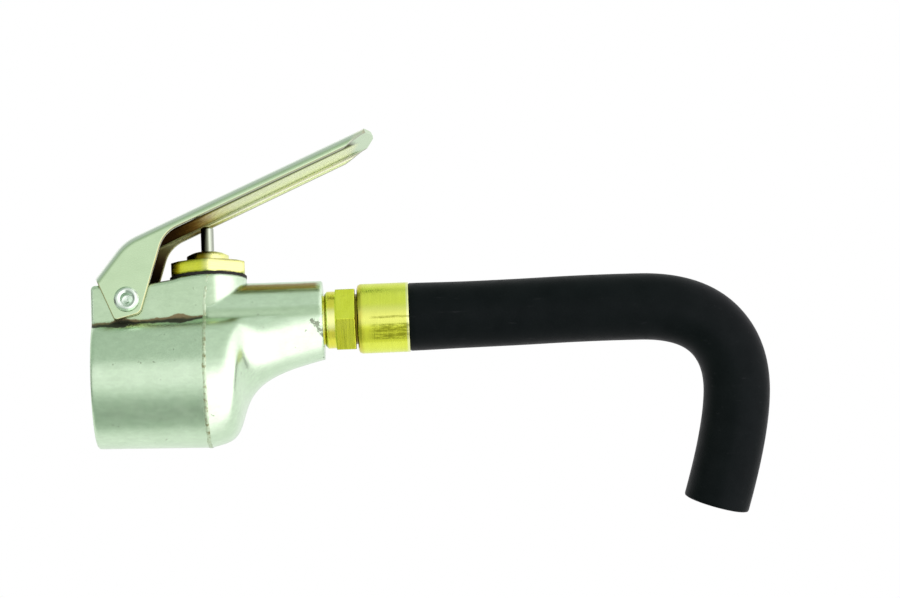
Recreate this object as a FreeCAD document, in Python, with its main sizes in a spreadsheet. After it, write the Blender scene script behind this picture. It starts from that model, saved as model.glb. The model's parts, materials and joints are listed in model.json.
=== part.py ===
import FreeCAD
import Part
import Sketcher
import math
import os

# A hand valve for inflating tyres from a small portable tank.
# Frame: the origin is the centre of the tank socket's mouth, +X runs along the socket's axis
# towards the hose, +Z points up to the lever and +Y away from the photographed side.
# Sizes are in millimetres and degrees.

SIZES = [
    # Cast body: the round tank socket and the flat-sided saddle on top of it
    ("socket_mouth_r", 15.7, "outer radius of the socket at its mouth"),
    ("socket_draft", 1.5, "draft of the socket's outside, widening towards the seam"),
    ("socket_bore_r", 12.7, "major radius of the female tank thread, 1 inch"),
    ("socket_depth", 18.5, "depth of the socket"),
    ("socket_lead", 0.5, "lead-in chamfer at the socket's mouth"),
    ("rim_round", 0.8, "rounding of the mouth's outer rim"),
    ("seam_x", 26.8, "where the two halves of the casting die meet"),
    ("saddle_half", 9.1, "half the width across the saddle's flat sides"),
    ("saddle_top", 22.1, "height of the saddle's flat top"),
    ("saddle_ramp_x", 14.0, "where the saddle's top starts to climb to the boss"),
    ("saddle_ramp_rise", 0.75, "how far it climbs before it follows the gasket's edge"),
    ("saddle_round", 1.0, "rounding of the saddle's edges"),
    # Cast body: the valve boss and the outlet neck
    ("stack_x", 27.4, "the valve's vertical axis"),
    ("boss_r", 9.15, "outer radius of the valve boss"),
    ("boss_top", 23.8, "gasket seat on the valve boss"),
    ("outlet_z", 13.0, "height of the outlet's axis"),
    ("neck_r", 9.4, "outer radius of the outlet neck at its face"),
    ("neck_draft", 0.5, "draft of the neck"),
    ("neck_face_x", 54.6, "the neck's end face"),
    ("neck_edge", 0.3, "chamfer round the neck's end face"),
    # Cast body: the underside, from the seam round the shoulder and up to the neck
    ("shoulder_x", 35.3, "where the underside is steepest"),
    ("shoulder_z", -8.6, "height of that point"),
    ("shoulder_slope", 73.0, "slope there"),
    ("seam_slope", 11.0, "slope of the underside at the seam"),
    ("neck_slope", 13.0, "slope of the underside at the neck's face"),
    ("seam_pull", 6.3, "length of the curve's handles on the seam side"),
    ("shoulder_pull", 7.4, "length of its handle above the shoulder"),
    ("neck_pull", 12.6, "length of its handle at the neck's face"),
    # Bores of the casting
    ("gland_bore_r", 6.5, "bore that takes the gland nut's thread"),
    ("seat_shelf_z", 8.5, "shelf that the valve seat's gasket lies on"),
    ("seat_bore_r", 5.6, "bore that takes the valve seat's thread"),
    ("chamber_top_z", 3.0, "top of the spring chamber"),
    ("chamber_r", 5.0, "radius of the spring chamber"),
    ("chamber_floor_z", -10.5, "floor of the spring chamber"),
    ("inlet_r", 2.5, "inlet port from the socket to the spring chamber"),
    ("outlet_r", 3.0, "outlet passage to the neck"),
    ("neck_bore_r", 6.4, "bore that takes the hose stem's thread"),
    ("neck_bore_depth", 11.6, "depth of that bore"),
    # Socket washer and inlet screen
    ("washer_thick", 2.5, "socket washer's thickness"),
    ("relief_long", 3.0, "length of the thread relief that holds the washer"),
    ("relief_r", 13.0, "radius of that relief"),
    ("washer_gap", 0.2, "clearance round the socket washer"),
    ("washer_hole_r", 4.6, "hole through the socket washer"),
    ("screen_thick", 0.6, "inlet screen's thickness"),
    ("screen_r", 6.4, "inlet screen's radius"),
    ("screen_hole_r", 0.7, "each of the screen's holes"),
    ("screen_pitch", 2.6, "radius of the screen's ring of holes"),
    # Gland: gasket, nut, packing and follower
    ("gasket_thick", 0.65, "fibre gasket under the gland nut"),
    ("gasket_r", 9.2, "its outer radius"),
    ("nut_flats", 17.46, "gland nut across the flats, 11/16 inch"),
    ("nut_hex_tall", 3.1, "height of its hexagon"),
    ("nut_turn", 3.0, "how far the tightened nut has turned"),
    ("nut_bevel", 0.9, "bevel of the hexagon's corners, above and below"),
    ("nut_bevel_slope", 0.32, "slope of these bevels"),
    ("nut_cap_r", 5.05, "the round cap on the nut"),
    ("nut_cap_wall", 1.95, "its straight side"),
    ("nut_cap_tall", 2.85, "its whole height"),
    ("nut_cap_crown", 0.32, "how far the cap's crown bulges over a plain cone"),
    ("nut_cap_flat_r", 2.2, "the flat round the pin hole"),
    ("nut_thread_long", 7.5, "length of the nut's threaded part"),
    ("thread_gap", 0.05, "clearance of each threaded fit"),
    ("packing_pocket_r", 3.42, "pocket for the O-ring in the nut"),
    ("packing_pocket_deep", 4.6, "depth of that pocket"),
    ("ring_wire_r", 0.88, "radius of the O-ring's section"),
    ("follower_thick", 1.4, "brass follower that holds the O-ring up"),
    ("follower_inset", 0.8, "how far the follower is pressed in"),
    # Push pin
    ("pin_r", 1.55, "push pin's radius"),
    ("pin_fit", 0.06, "running clearance round the pin"),
    ("pin_tip_gap", 0.35, "gap between the pin's tip and the fully pressed lever"),
    ("pin_tip_round", 0.6, "rounding of the tip"),
    ("pin_neck_r", 1.25, "the pin's thinner lower part"),
    ("pin_neck_z", 11.6, "where the thinner part starts"),
    # Valve seat
    ("seat_gasket_thick", 0.5, "copper gasket under the seat's flange"),
    ("seat_flange_r", 6.2, "valve seat's flange"),
    ("seat_flange_thick", 1.0, "its thickness"),
    ("seat_hole_r", 2.4, "hole through the valve seat"),
    ("seat_lip_r", 3.2, "outer radius of the seat's lip"),
    ("seat_lip_tall", 0.8, "how far the lip stands below the seat"),
    ("seat_body_z", 3.2, "underside of the seat's threaded part"),
    ("seat_slot", 1.4, "width and depth of the driver slot"),
    # Poppet: cup, rubber disc and nut
    ("seal_gap", 0.05, "gap between the shut valve's disc and the lip"),
    ("seal_r", 3.9, "rubber disc's radius"),
    ("seal_thick", 1.8, "its thickness"),
    ("cup_r", 4.4, "poppet cup's radius"),
    ("cup_wall_tall", 0.9, "how far the cup's wall holds the disc"),
    ("cup_floor", 1.9, "thickness of the cup's floor"),
    ("poppet_nut_flats", 4.4, "poppet nut across the flats"),
    ("poppet_nut_tall", 2.2, "its height"),
    # Valve spring
    ("spring_wire_r", 0.4, "radius of the spring's wire"),
    ("spring_mean_r", 3.5, "radius of its coils, to the wire's middle"),
    ("spring_turns", 3.5, "number of its turns"),
    ("spring_seat_gap", 0.05, "gap at each end of the spring"),
    # Lever: a stamped channel with two ears
    ("sheet", 1.2, "thickness of the lever's sheet"),
    ("ear_gap", 0.3, "gap between the saddle and each ear"),
    ("bend_round", 1.9, "outer radius of the bends"),
    ("pivot_x", 8.6, "the pivot's place along X"),
    ("pivot_z", 18.2, "the pivot's height"),
    ("rivet_r", 2.0, "pivot rivet's shank"),
    ("rivet_fit", 0.05, "running clearance of the lever on the rivet"),
    ("lever_rear_x", 1.25, "the lever's rear edge"),
    ("rear_lift", 1.5, "height of that edge over the saddle's top"),
    ("rear_angle", 51.65, "slope of the lever's rear panel"),
    ("rear_long", 11.13, "length of that panel, up to the knee where the handle starts"),
    ("knee_round", 12.0, "rounding of the knee"),
    ("handle_angle", 23.6, "slope of the raised handle"),
    ("handle_long", 64.7, "length of the handle from the knee"),
    ("handle_taper_from", 12.0, "where the handle starts to narrow"),
    ("handle_taper_round", 300.0, "rounding there"),
    ("tip_inset", 0.7, "how far each side of the handle has come in at the tip"),
    ("flange_deep", 2.4, "depth of the handle's side flanges"),
    ("ear_front_x", 17.7, "where the ear's front edge meets the flange"),
    ("ear_front_round", 7.5, "rounding there"),
    ("ear_toe_x", 11.75, "the ear's front lower corner"),
    ("ear_toe_z", 14.75, "height of that corner"),
    ("ear_toe_round", 2.0, "its rounding"),
    ("ear_heel_x", 5.6, "the ear's rear lower corner"),
    ("ear_heel_z", 13.25, "height of that corner"),
    ("ear_heel_round", 0.8, "its rounding"),
    ("tongue_long", 3.0, "flat tongue beyond the flanges"),
    ("flange_fade", 5.4, "length over which the flanges fade out"),
    ("flange_fade_round", 4.0, "rounding at both ends of that fade"),
    ("tip_slant", 2.0, "how far the tip's corners fall back"),
    ("tip_flat_half", 1.6, "half the straight part of the tip"),
    ("tip_round", 1.6, "rounding of the tip's corners"),
    ("edge_round", 0.35, "rolled-over outer edge of the stamped sheet"),
    # Pivot rivet
    ("rivet_play", 0.3, "gap between each ear and the rivet's head there"),
    ("rivet_head_r", 3.6, "factory head, on the far side"),
    ("rivet_head_thick", 1.3, "its thickness"),
    ("clinch_r", 2.95, "rolled end, on the photographed side"),
    ("clinch_thick", 0.95, "its thickness"),
    ("rivet_hollow_r", 1.5, "hollow of the rolled end"),
    ("rivet_hollow_deep", 4.5, "depth of that hollow"),
    # Hose stem
    ("stem_gap", 0.4, "gap between the neck's face and the stem's collar"),
    ("collar_r", 6.8, "round collar of the hose stem"),
    ("collar_long", 2.6, "its length"),
    ("collar_round", 0.6, "its bevel on the neck's side"),
    ("stem_flats", 14.3, "stem's hexagon across the flats, 9/16 inch"),
    ("stem_turn", 8.5, "degrees the hexagon stands turned once the stem is tight"),
    ("stem_hex_long", 4.6, "length of the hexagon"),
    ("stem_bevel", 0.4, "bevel of the hexagon's corners"),
    ("groove_r", 6.0, "groove that the ferrule's end closes into"),
    ("groove_long", 1.3, "length of that groove"),
    ("shank_r", 4.35, "the stem's barbed shank at the root"),
    ("shank_long", 21.0, "length of the shank"),
    ("barb_pitch", 4.6, "spacing of the barbs"),
    ("barb_tall", 0.5, "height of each barb"),
    # Ferrule and hose
    ("ferrule_r", 8.3, "outer radius of the crimped ferrule"),
    ("ferrule_wall", 0.42, "its wall"),
    ("ferrule_x", 62.75, "its closed end"),
    ("ferrule_long", 12.25, "its length"),
    ("ferrule_bevel", 0.9, "bevel of its closed end"),
    ("ferrule_end_thick", 0.6, "thickness of its closed end"),
    ("hose_r", 7.94, "outer radius of the hose, 5/8 inch across"),
    ("hose_bore_r", 4.9, "bore of the hose"),
    ("hose_grip_gap", 0.02, "gap between the hose and the ferrule round it"),
    ("hose_step", 0.3, "where the hose takes its free size, past the ferrule"),
    ("hose_roll", 16.0, "how far the hose's bend is rolled away from the lever's plane"),
    # Motion
    ("press_angle", 11.5, "how far the lever can be pressed"),
    ("pin_travel", 2.8, "how far the pin goes down meanwhile"),
]

# The hose's route: distance along X from just past the ferrule's mouth, and height above the outlet's axis,
# in the plane of the bend. The ends of the route are square to the hose's ends.
HOSE_ROUTE = [
    (0.0, 0.0),
    (20.0, 0.0),
    (43.0, 0.5),
    (66.5, 0.1),
    (77.6, -11.2),
    (76.9, -30.5),
    (71.5, -47.9),
]

doc = FreeCAD.newDocument("tire_inflator")
dims = doc.addObject("Spreadsheet::Sheet", "dims")


class Size:
    """A number and the formula of sheet cells that gives it."""

    def __init__(self, value, text):
        self.value = value
        self.text = text

    def __add__(self, other):
        other = as_size(other)
        return Size(self.value + other.value, "(" + self.text + " + " + other.text + ")")

    def __sub__(self, other):
        other = as_size(other)
        return Size(self.value - other.value, "(" + self.text + " - " + other.text + ")")

    def __mul__(self, other):
        other = as_size(other)
        return Size(self.value * other.value, "(" + self.text + " * " + other.text + ")")

    def __truediv__(self, other):
        other = as_size(other)
        return Size(self.value / other.value, "(" + self.text + " / " + other.text + ")")

    def __neg__(self):
        return Size(-self.value, "(0 - " + self.text + ")")

    def __radd__(self, other):
        return as_size(other) + self

    def __rsub__(self, other):
        return as_size(other) - self

    def __rmul__(self, other):
        return as_size(other) * self


def as_size(number):
    return number if isinstance(number, Size) else Size(float(number), repr(float(number)))


def sine(angle):
    angle = as_size(angle)
    return Size(math.sin(math.radians(angle.value)), "sin(" + angle.text + ")")


def cosine(angle):
    angle = as_size(angle)
    return Size(math.cos(math.radians(angle.value)), "cos(" + angle.text + ")")


def tangent(angle):
    return sine(angle) / cosine(angle)


def root(number):
    return Size(math.sqrt(number.value), "sqrt(" + number.text + ")")


class Sheet:
    """Gives each cell of the sheet by its alias."""

    def __init__(self, rows):
        for index, (alias, value, meaning) in enumerate(rows):
            row = str(index + 1)
            dims.set("A" + row, meaning)
            dims.set("B" + row, repr(value))
            dims.setAlias("B" + row, alias)
        doc.recompute()

    def __getattr__(self, alias):
        return Size(float(getattr(dims, alias)), "dims." + alias)


size = Sheet(SIZES)


# Helpers for bodies, sketches and features

def bind(thing, path, amount):
    thing.setExpression(path, as_size(amount).text)


def new_body(label, x=0, y=0, z=0):
    body = doc.addObject("PartDesign::Body", label)
    body.Label = label
    for axis, amount in (("x", x), ("y", y), ("z", z)):
        if as_size(amount).value:
            bind(body, "Placement.Base." + axis, amount)
    return body


def new_sketch(body, plane, right=0, up=0, out=0):
    """A sketch on one of the body's origin planes, moved right and up in the plane and out of it."""
    sketch = body.newObject("Sketcher::SketchObject", body.Name + "_sketch")
    support = [feature for feature in body.Origin.OriginFeatures if feature.Role == plane][0]
    sketch.AttachmentSupport = (support, [""])
    sketch.MapMode = "FlatFace"
    for axis, amount in (("x", right), ("y", up), ("z", out)):
        if as_size(amount).value:
            bind(sketch, "AttachmentOffset.Base." + axis, amount)
    return sketch


def pin_point(sketch, geometry, point, x, y):
    """Fixes a point of the sketch at distances from the sketch's origin."""
    for kind, amount in (("DistanceX", x), ("DistanceY", y)):
        amount = as_size(amount)
        constraint = Sketcher.Constraint(kind, -1, 1, geometry, point, amount.value)
        index = sketch.addConstraint(constraint)
        sketch.setExpression("Constraints[%d]" % index, amount.text)


def outline(sketch, corners):
    """A closed outline of straight sides. A corner is (x, y) or (x, y, radius of its rounding)."""
    first = sketch.GeometryCount
    count = len(corners)
    places = [(as_size(corner[0]), as_size(corner[1])) for corner in corners]
    for index in range(count):
        here = places[index]
        there = places[(index + 1) % count]
        start = FreeCAD.Vector(here[0].value, here[1].value, 0)
        end = FreeCAD.Vector(there[0].value, there[1].value, 0)
        sketch.addGeometry(Part.LineSegment(start, end))
    for index in range(count):
        following = first + (index + 1) % count
        sketch.addConstraint(Sketcher.Constraint("Coincident", first + index, 2, following, 1))
    for index in range(count):
        pin_point(sketch, first + index, 1, *places[index])
    for index in range(count):
        if len(corners[index]) == 3:
            radius = as_size(corners[index][2])
            side_before = first + (index - 1) % count
            sketch.fillet(side_before, 2, radius.value, True, True)
            arc = [number for number, shape in enumerate(sketch.Geometry)
                   if isinstance(shape, Part.ArcOfCircle)][-1]
            constraint = sketch.addConstraint(Sketcher.Constraint("Radius", arc, radius.value))
            sketch.setExpression("Constraints[%d]" % constraint, radius.text)


def circle(sketch, x, y, radius):
    x, y, radius = as_size(x), as_size(y), as_size(radius)
    centre = FreeCAD.Vector(x.value, y.value, 0)
    shape = Part.Circle(centre, FreeCAD.Vector(0, 0, 1), radius.value)
    index = sketch.addGeometry(shape)
    pin_point(sketch, index, 3, x, y)
    constraint = sketch.addConstraint(Sketcher.Constraint("Radius", index, radius.value))
    sketch.setExpression("Constraints[%d]" % constraint, radius.text)


def feature(body, kind, **settings):
    """A PartDesign feature. Sizes among its settings are bound to the sheet."""
    result = body.newObject("PartDesign::" + kind, body.Name + "_" + kind.lower())
    for name, setting in settings.items():
        if isinstance(setting, Size):
            bind(result, name, setting)
        else:
            setattr(result, name, setting)
    doc.recompute()
    return result


def must_change(body, before, grows):
    """Stops the script where a feature added or removed nothing."""
    after = body.Tip.Shape.Volume
    changed = after > before + 1e-4 if grows else after < before - 1e-4
    if not changed:
        raise RuntimeError(body.Name + ": " + body.Tip.Name + " changed nothing")


def turn(body, corners, plane="XZ_Plane", axis="V_Axis", cut=False, **place):
    """Revolves an outline about the sketch's horizontal or vertical axis, to add or to cut."""
    before = body.Tip.Shape.Volume if body.Tip else 0
    sketch = new_sketch(body, plane, **place)
    outline(sketch, corners)
    kind = "Groove" if cut else "Revolution"
    result = feature(body, kind, Profile=sketch, ReferenceAxis=(sketch, [axis]), Angle=360.0)
    must_change(body, before, grows=not cut)
    return result


def pad(body, sketch, length, **settings):
    before = body.Tip.Shape.Volume if body.Tip else 0
    result = feature(body, "Pad", Profile=sketch, Length=as_size(length), **settings)
    must_change(body, before, grows=True)
    return result


def pocket(body, sketch, length, **settings):
    before = body.Tip.Shape.Volume
    result = feature(body, "Pocket", Profile=sketch, Length=as_size(length), **settings)
    must_change(body, before, grows=False)
    return result


def edges_where(shape, test):
    return ["Edge%d" % (index + 1) for index, edge in enumerate(shape.Edges) if test(edge)]


def middle(edge):
    return edge.valueAt((edge.FirstParameter + edge.LastParameter) / 2)


def hexagon(flats, turned):
    """The corners of a hexagon, one of them turned from the sketch's downward direction."""
    corner_r = flats / math.sqrt(3)
    return [(corner_r * cosine(turned + (60 * step - 90)),
             corner_r * sine(turned + (60 * step - 90))) for step in range(6)]


# Cast body

def bezier(ends, share):
    """A point of a cubic curve given by its two ends and two handles, as sizes."""
    weights = ((1 - share) ** 3, 3 * share * (1 - share) ** 2, 3 * share ** 2 * (1 - share), share ** 3)
    point = []
    for coordinate in (0, 1):
        terms = [weight * end[coordinate] for weight, end in zip(weights, ends)]
        point.append(terms[0] + terms[1] + terms[2] + terms[3])
    return point


def underside_stations():
    """Places along X, each with the height of the casting's underside there."""
    seam_r = size.socket_mouth_r + size.seam_x * tangent(size.socket_draft)
    steep = (cosine(size.shoulder_slope), sine(size.shoulder_slope))
    seam = (size.seam_x, -seam_r)
    seam_handle = (size.seam_x + size.seam_pull * cosine(size.seam_slope),
                   -seam_r + size.seam_pull * sine(size.seam_slope))
    shoulder = (size.shoulder_x, size.shoulder_z)
    below = (size.shoulder_x - size.seam_pull * steep[0], size.shoulder_z - size.seam_pull * steep[1])
    above = (size.shoulder_x + size.shoulder_pull * steep[0],
             size.shoulder_z + size.shoulder_pull * steep[1])
    neck_handle = (size.neck_face_x - size.neck_pull * cosine(size.neck_slope),
                   size.outlet_z - size.neck_r - size.neck_pull * sine(size.neck_slope))
    neck = (size.neck_face_x, size.outlet_z - size.neck_r)
    steps = 10
    stations = [bezier((seam, seam_handle, below, shoulder), step / steps) for step in range(steps)]
    stations += [bezier((shoulder, above, neck_handle, neck), step / steps) for step in range(steps + 1)]
    return stations


def fairing_section(body, station, low, half_width):
    """The part of a circle below the outlet's axis that passes the underside and both sides."""
    depth = size.outlet_z - low
    radius = (half_width * half_width + depth * depth) / (2 * depth)
    centre = low + radius
    sketch = new_sketch(body, "YZ_Plane", out=station)
    lift = math.atan2(size.outlet_z.value - centre.value, half_width.value)
    middle_point = FreeCAD.Vector(0, centre.value, 0)
    full = Part.Circle(middle_point, FreeCAD.Vector(0, 0, 1), radius.value)
    arc = sketch.addGeometry(Part.ArcOfCircle(full, math.pi - lift, 2 * math.pi + lift))
    left = FreeCAD.Vector(-half_width.value, size.outlet_z.value, 0)
    right = FreeCAD.Vector(half_width.value, size.outlet_z.value, 0)
    chord = sketch.addGeometry(Part.LineSegment(right, left))
    sketch.addConstraint(Sketcher.Constraint("Coincident", arc, 2, chord, 1))
    sketch.addConstraint(Sketcher.Constraint("Coincident", chord, 2, arc, 1))
    pin_point(sketch, arc, 3, 0, centre)
    index = sketch.addConstraint(Sketcher.Constraint("Radius", arc, radius.value))
    sketch.setExpression("Constraints[%d]" % index, radius.text)
    for end in (1, 2):
        constraint = Sketcher.Constraint("DistanceY", -1, 1, chord, end, size.outlet_z.value)
        index = sketch.addConstraint(constraint)
        sketch.setExpression("Constraints[%d]" % index, size.outlet_z.text)
    return sketch


def make_valve_body():
    body = new_body("valve_body")
    seam_r = size.socket_mouth_r + size.seam_x * tangent(size.socket_draft)
    seam_half = root(seam_r * seam_r - size.outlet_z * size.outlet_z)

    # The saddle comes first, so that its edges are rounded before the rest joins it
    saddle = new_sketch(body, "XZ_Plane")
    ramp_end = size.stack_x - size.boss_r + 1
    outline(saddle, [
        (0, size.outlet_z - 6),
        (0, size.saddle_top, size.saddle_round),
        (size.saddle_ramp_x, size.saddle_top, 8),
        (ramp_end, size.saddle_top + size.saddle_ramp_rise),
        (ramp_end + 2, size.boss_top - 0.42),
        (ramp_end + 4.5, size.boss_top - 0.12),
        (size.stack_x, size.boss_top - 0.02),
        (size.stack_x, size.outlet_z - 6),
    ])
    block = pad(body, saddle, 2 * size.saddle_half, Midplane=True)
    long_edges = edges_where(block.Shape, lambda edge: abs(middle(edge).y) > size.saddle_half.value - 0.01
                             and middle(edge).z > size.outlet_z.value - 5
                             and middle(edge).x < size.stack_x.value - 0.01)
    feature(body, "Fillet", Base=(block, long_edges), Radius=size.saddle_round * 0.8)

    # Socket, boss and neck are turned shapes about three axes
    turn(body, [
        (0, 0),
        (0, size.socket_mouth_r, size.rim_round),
        (size.seam_x, seam_r),
        (size.seam_x, 0),
    ], axis="H_Axis")
    turn(body, [
        (0, 0),
        (size.boss_r, 0),
        (size.boss_r, size.boss_top),
        (0, size.boss_top),
    ], right=size.stack_x)
    neck_long = size.neck_face_x - size.stack_x
    turn(body, [
        (size.stack_x, 0),
        (size.stack_x, size.neck_r + neck_long * tangent(size.neck_draft)),
        (size.neck_face_x - size.neck_edge, size.neck_r + 0.02),
        (size.neck_face_x, size.neck_r - size.neck_edge),
        (size.neck_face_x, 0),
    ], axis="H_Axis", up=size.outlet_z)

    # The fairing carries the socket's round end into the neck
    sections = []
    for station, low in underside_stations():
        share = (station - size.seam_x) / (size.neck_face_x - size.seam_x)
        half_width = seam_half + share * (size.neck_r - seam_half)
        sections.append(fairing_section(body, station, low, half_width))
    before = body.Tip.Shape.Volume
    feature(body, "AdditiveLoft", Profile=sections[0], Sections=sections[1:])
    must_change(body, before, grows=True)

    # Tank socket with its lead-in, the screen's recess and the funnel to the inlet port
    recess_x = size.socket_depth + size.screen_thick
    turn(body, [
        (-1, 0),
        (-1, size.socket_bore_r + size.socket_lead + 1),
        (size.socket_lead, size.socket_bore_r),
        (size.socket_depth - size.relief_long, size.socket_bore_r),
        (size.socket_depth - size.relief_long + 0.3, size.relief_r),
        (size.socket_depth, size.relief_r),
        (size.socket_depth, size.screen_r + 0.1),
        (recess_x, size.screen_r + 0.1),
        (recess_x, size.screen_r - 0.6),
        (recess_x + 2, size.inlet_r),
        (size.stack_x, size.inlet_r),
        (size.stack_x, 0),
    ], axis="H_Axis", cut=True)

    # Stepped bore for the gland nut, the valve seat and the spring
    turn(body, [
        (0, size.boss_top + 1),
        (size.gland_bore_r, size.boss_top + 1),
        (size.gland_bore_r, size.seat_shelf_z),
        (size.seat_bore_r, size.seat_shelf_z),
        (size.seat_bore_r, size.chamber_top_z),
        (size.chamber_r, size.chamber_top_z),
        (size.chamber_r, size.chamber_floor_z),
        (0, size.chamber_floor_z),
    ], cut=True, right=size.stack_x)

    # Outlet passage and the hose stem's bore
    turn(body, [
        (size.stack_x, 0),
        (size.stack_x, size.outlet_r),
        (size.neck_face_x - size.neck_bore_depth, size.outlet_r),
        (size.neck_face_x - size.neck_bore_depth, size.neck_bore_r),
        (size.neck_face_x - size.neck_edge, size.neck_bore_r),
        (size.neck_face_x + 1, size.neck_bore_r + size.neck_edge + 1),
        (size.neck_face_x + 1, 0),
    ], axis="H_Axis", cut=True, up=size.outlet_z)

    # Rivet hole through the saddle
    hole = new_sketch(body, "XZ_Plane")
    circle(hole, size.pivot_x, size.pivot_z, size.rivet_r + 0.02)
    pocket(body, hole, 4 * size.saddle_half, Midplane=True)
    return body


def make_socket_washer():
    body = new_body("socket_washer", x=size.socket_depth - size.washer_thick)
    outer = size.relief_r - size.washer_gap
    turn(body, [
        (0, size.washer_hole_r),
        (0, outer, 0.3),
        (size.washer_thick, outer),
        (size.washer_thick, size.washer_hole_r),
    ], axis="H_Axis")
    return body


def make_inlet_screen():
    body = new_body("inlet_screen", x=size.socket_depth)
    disc = new_sketch(body, "YZ_Plane")
    circle(disc, 0, 0, size.screen_r)
    pad(body, disc, size.screen_thick)
    holes = new_sketch(body, "YZ_Plane")
    circle(holes, 0, 0, size.screen_hole_r)
    count = 6
    for step in range(count):
        angle = 360.0 * step / count
        circle(holes, size.screen_pitch * cosine(angle), size.screen_pitch * sine(angle),
               size.screen_hole_r)
    pocket(body, holes, 2 * size.screen_thick, Reversed=True)
    return body


# Gland

def make_gland_gasket():
    body = new_body("gland_gasket", x=size.stack_x, z=size.boss_top)
    turn(body, [
        (size.gland_bore_r, 0),
        (size.gasket_r, 0),
        (size.gasket_r, size.gasket_thick),
        (size.gland_bore_r, size.gasket_thick),
    ])
    return body


def make_gland_nut():
    body = new_body("gland_nut", x=size.stack_x, z=size.boss_top + size.gasket_thick)
    corner_r = size.nut_flats / math.sqrt(3)
    hexagon_sketch = new_sketch(body, "XY_Plane")
    outline(hexagon_sketch, hexagon(size.nut_flats, size.nut_turn))
    pad(body, hexagon_sketch, size.nut_hex_tall)
    reach = corner_r + 1
    drop = size.nut_bevel_slope * (size.nut_bevel + 1)
    for face_z, inward in ((size.nut_hex_tall, -1), (as_size(0), 1)):
        turn(body, [
            (corner_r - size.nut_bevel, face_z),
            (reach, face_z + inward * drop),
            (reach, face_z - inward),
            (corner_r - size.nut_bevel, face_z - inward),
        ], cut=True)
    turn(body, [
        (0, -size.nut_thread_long),
        (size.gland_bore_r - size.thread_gap - 0.6, -size.nut_thread_long),
        (size.gland_bore_r - size.thread_gap, 0.6 - size.nut_thread_long),
        (size.gland_bore_r - size.thread_gap, size.nut_hex_tall * 0.5),
        (size.nut_cap_r, size.nut_hex_tall * 0.5),
        (size.nut_cap_r, size.nut_hex_tall + size.nut_cap_wall),
        ((size.nut_cap_r + size.nut_cap_flat_r) / 2,
         size.nut_hex_tall + (size.nut_cap_wall + size.nut_cap_tall) / 2 + size.nut_cap_crown, 3),
        (size.nut_cap_flat_r, size.nut_hex_tall + size.nut_cap_tall),
        (0, size.nut_hex_tall + size.nut_cap_tall),
    ])
    hole_r = size.pin_r + size.pin_fit
    turn(body, [
        (0, -size.nut_thread_long - 1),
        (size.packing_pocket_r, -size.nut_thread_long - 1),
        (size.packing_pocket_r, size.packing_pocket_deep - size.nut_thread_long),
        (hole_r, size.packing_pocket_deep - size.nut_thread_long),
        (hole_r, size.nut_hex_tall + size.nut_cap_tall + 1),
        (0, size.nut_hex_tall + size.nut_cap_tall + 1),
    ], cut=True)
    return body


def gland_bottom():
    return size.boss_top + size.gasket_thick - size.nut_thread_long


def make_packing_follower():
    body = new_body("packing_follower", x=size.stack_x, z=gland_bottom() + size.follower_inset)
    turn(body, [
        (size.pin_r + size.pin_fit, 0),
        (size.packing_pocket_r, 0),
        (size.packing_pocket_r, size.follower_thick),
        (size.pin_r + size.pin_fit, size.follower_thick),
    ])
    return body


def make_pin_ring():
    # The O-ring lies on the follower and closes the pin hole
    on_follower = gland_bottom() + size.follower_inset + size.follower_thick
    body = new_body("pin_o_ring", x=size.stack_x, z=on_follower + size.ring_wire_r)
    sketch = new_sketch(body, "XZ_Plane")
    circle(sketch, size.pin_r + size.pin_fit + size.ring_wire_r, 0, size.ring_wire_r)
    feature(body, "Revolution", Profile=sketch, ReferenceAxis=(sketch, ["V_Axis"]), Angle=360.0)
    return body


# Valve inside the body

def seat_flange_z():
    return size.seat_shelf_z + size.seat_gasket_thick


def lip_z():
    return size.seat_body_z - size.seat_lip_tall


def seal_bottom_z():
    return lip_z() - size.seal_gap - size.seal_thick


def cup_bottom_z():
    return seal_bottom_z() - size.cup_floor


def make_seat_gasket():
    body = new_body("seat_gasket", x=size.stack_x, z=size.seat_shelf_z)
    turn(body, [
        (size.seat_bore_r, 0),
        (size.seat_flange_r, 0),
        (size.seat_flange_r, size.seat_gasket_thick),
        (size.seat_bore_r, size.seat_gasket_thick),
    ])
    return body


def make_valve_seat():
    body = new_body("valve_seat", x=size.stack_x, z=seat_flange_z())
    down = seat_flange_z() - size.seat_body_z
    thread_r = size.seat_bore_r - size.thread_gap
    turn(body, [
        (size.seat_hole_r, -down - size.seat_lip_tall),
        (size.seat_lip_r - 0.5, -down - size.seat_lip_tall),
        (size.seat_lip_r, -down),
        (thread_r - 0.5, -down),
        (thread_r, 0.5 - down),
        (thread_r, 0),
        (size.seat_flange_r, 0),
        (size.seat_flange_r, size.seat_flange_thick),
        (size.seat_hole_r, size.seat_flange_thick),
    ])
    slot = new_sketch(body, "XZ_Plane")
    half = size.seat_slot / 2
    outline(slot, [
        (-half, size.seat_flange_thick - size.seat_slot),
        (half, size.seat_flange_thick - size.seat_slot),
        (half, size.seat_flange_thick + 1),
        (-half, size.seat_flange_thick + 1),
    ])
    pocket(body, slot, 3 * size.seat_flange_r, Midplane=True)
    return body


def pin_top_z():
    """The tip's height when the valve is shut: it ends just under the web of the pressed lever."""
    slope = size.handle_angle - size.press_angle
    web = ((knee_z() - size.pivot_z) * cosine(size.handle_angle)
           + (size.pivot_x - knee_x()) * sine(size.handle_angle) - size.sheet)
    low_side = size.stack_x - size.pin_r + size.pin_tip_round
    pressed_web_z = size.pivot_z + (low_side - size.pivot_x) * tangent(slope) + web / cosine(slope)
    return pressed_web_z - size.pin_tip_gap + size.pin_travel


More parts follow.
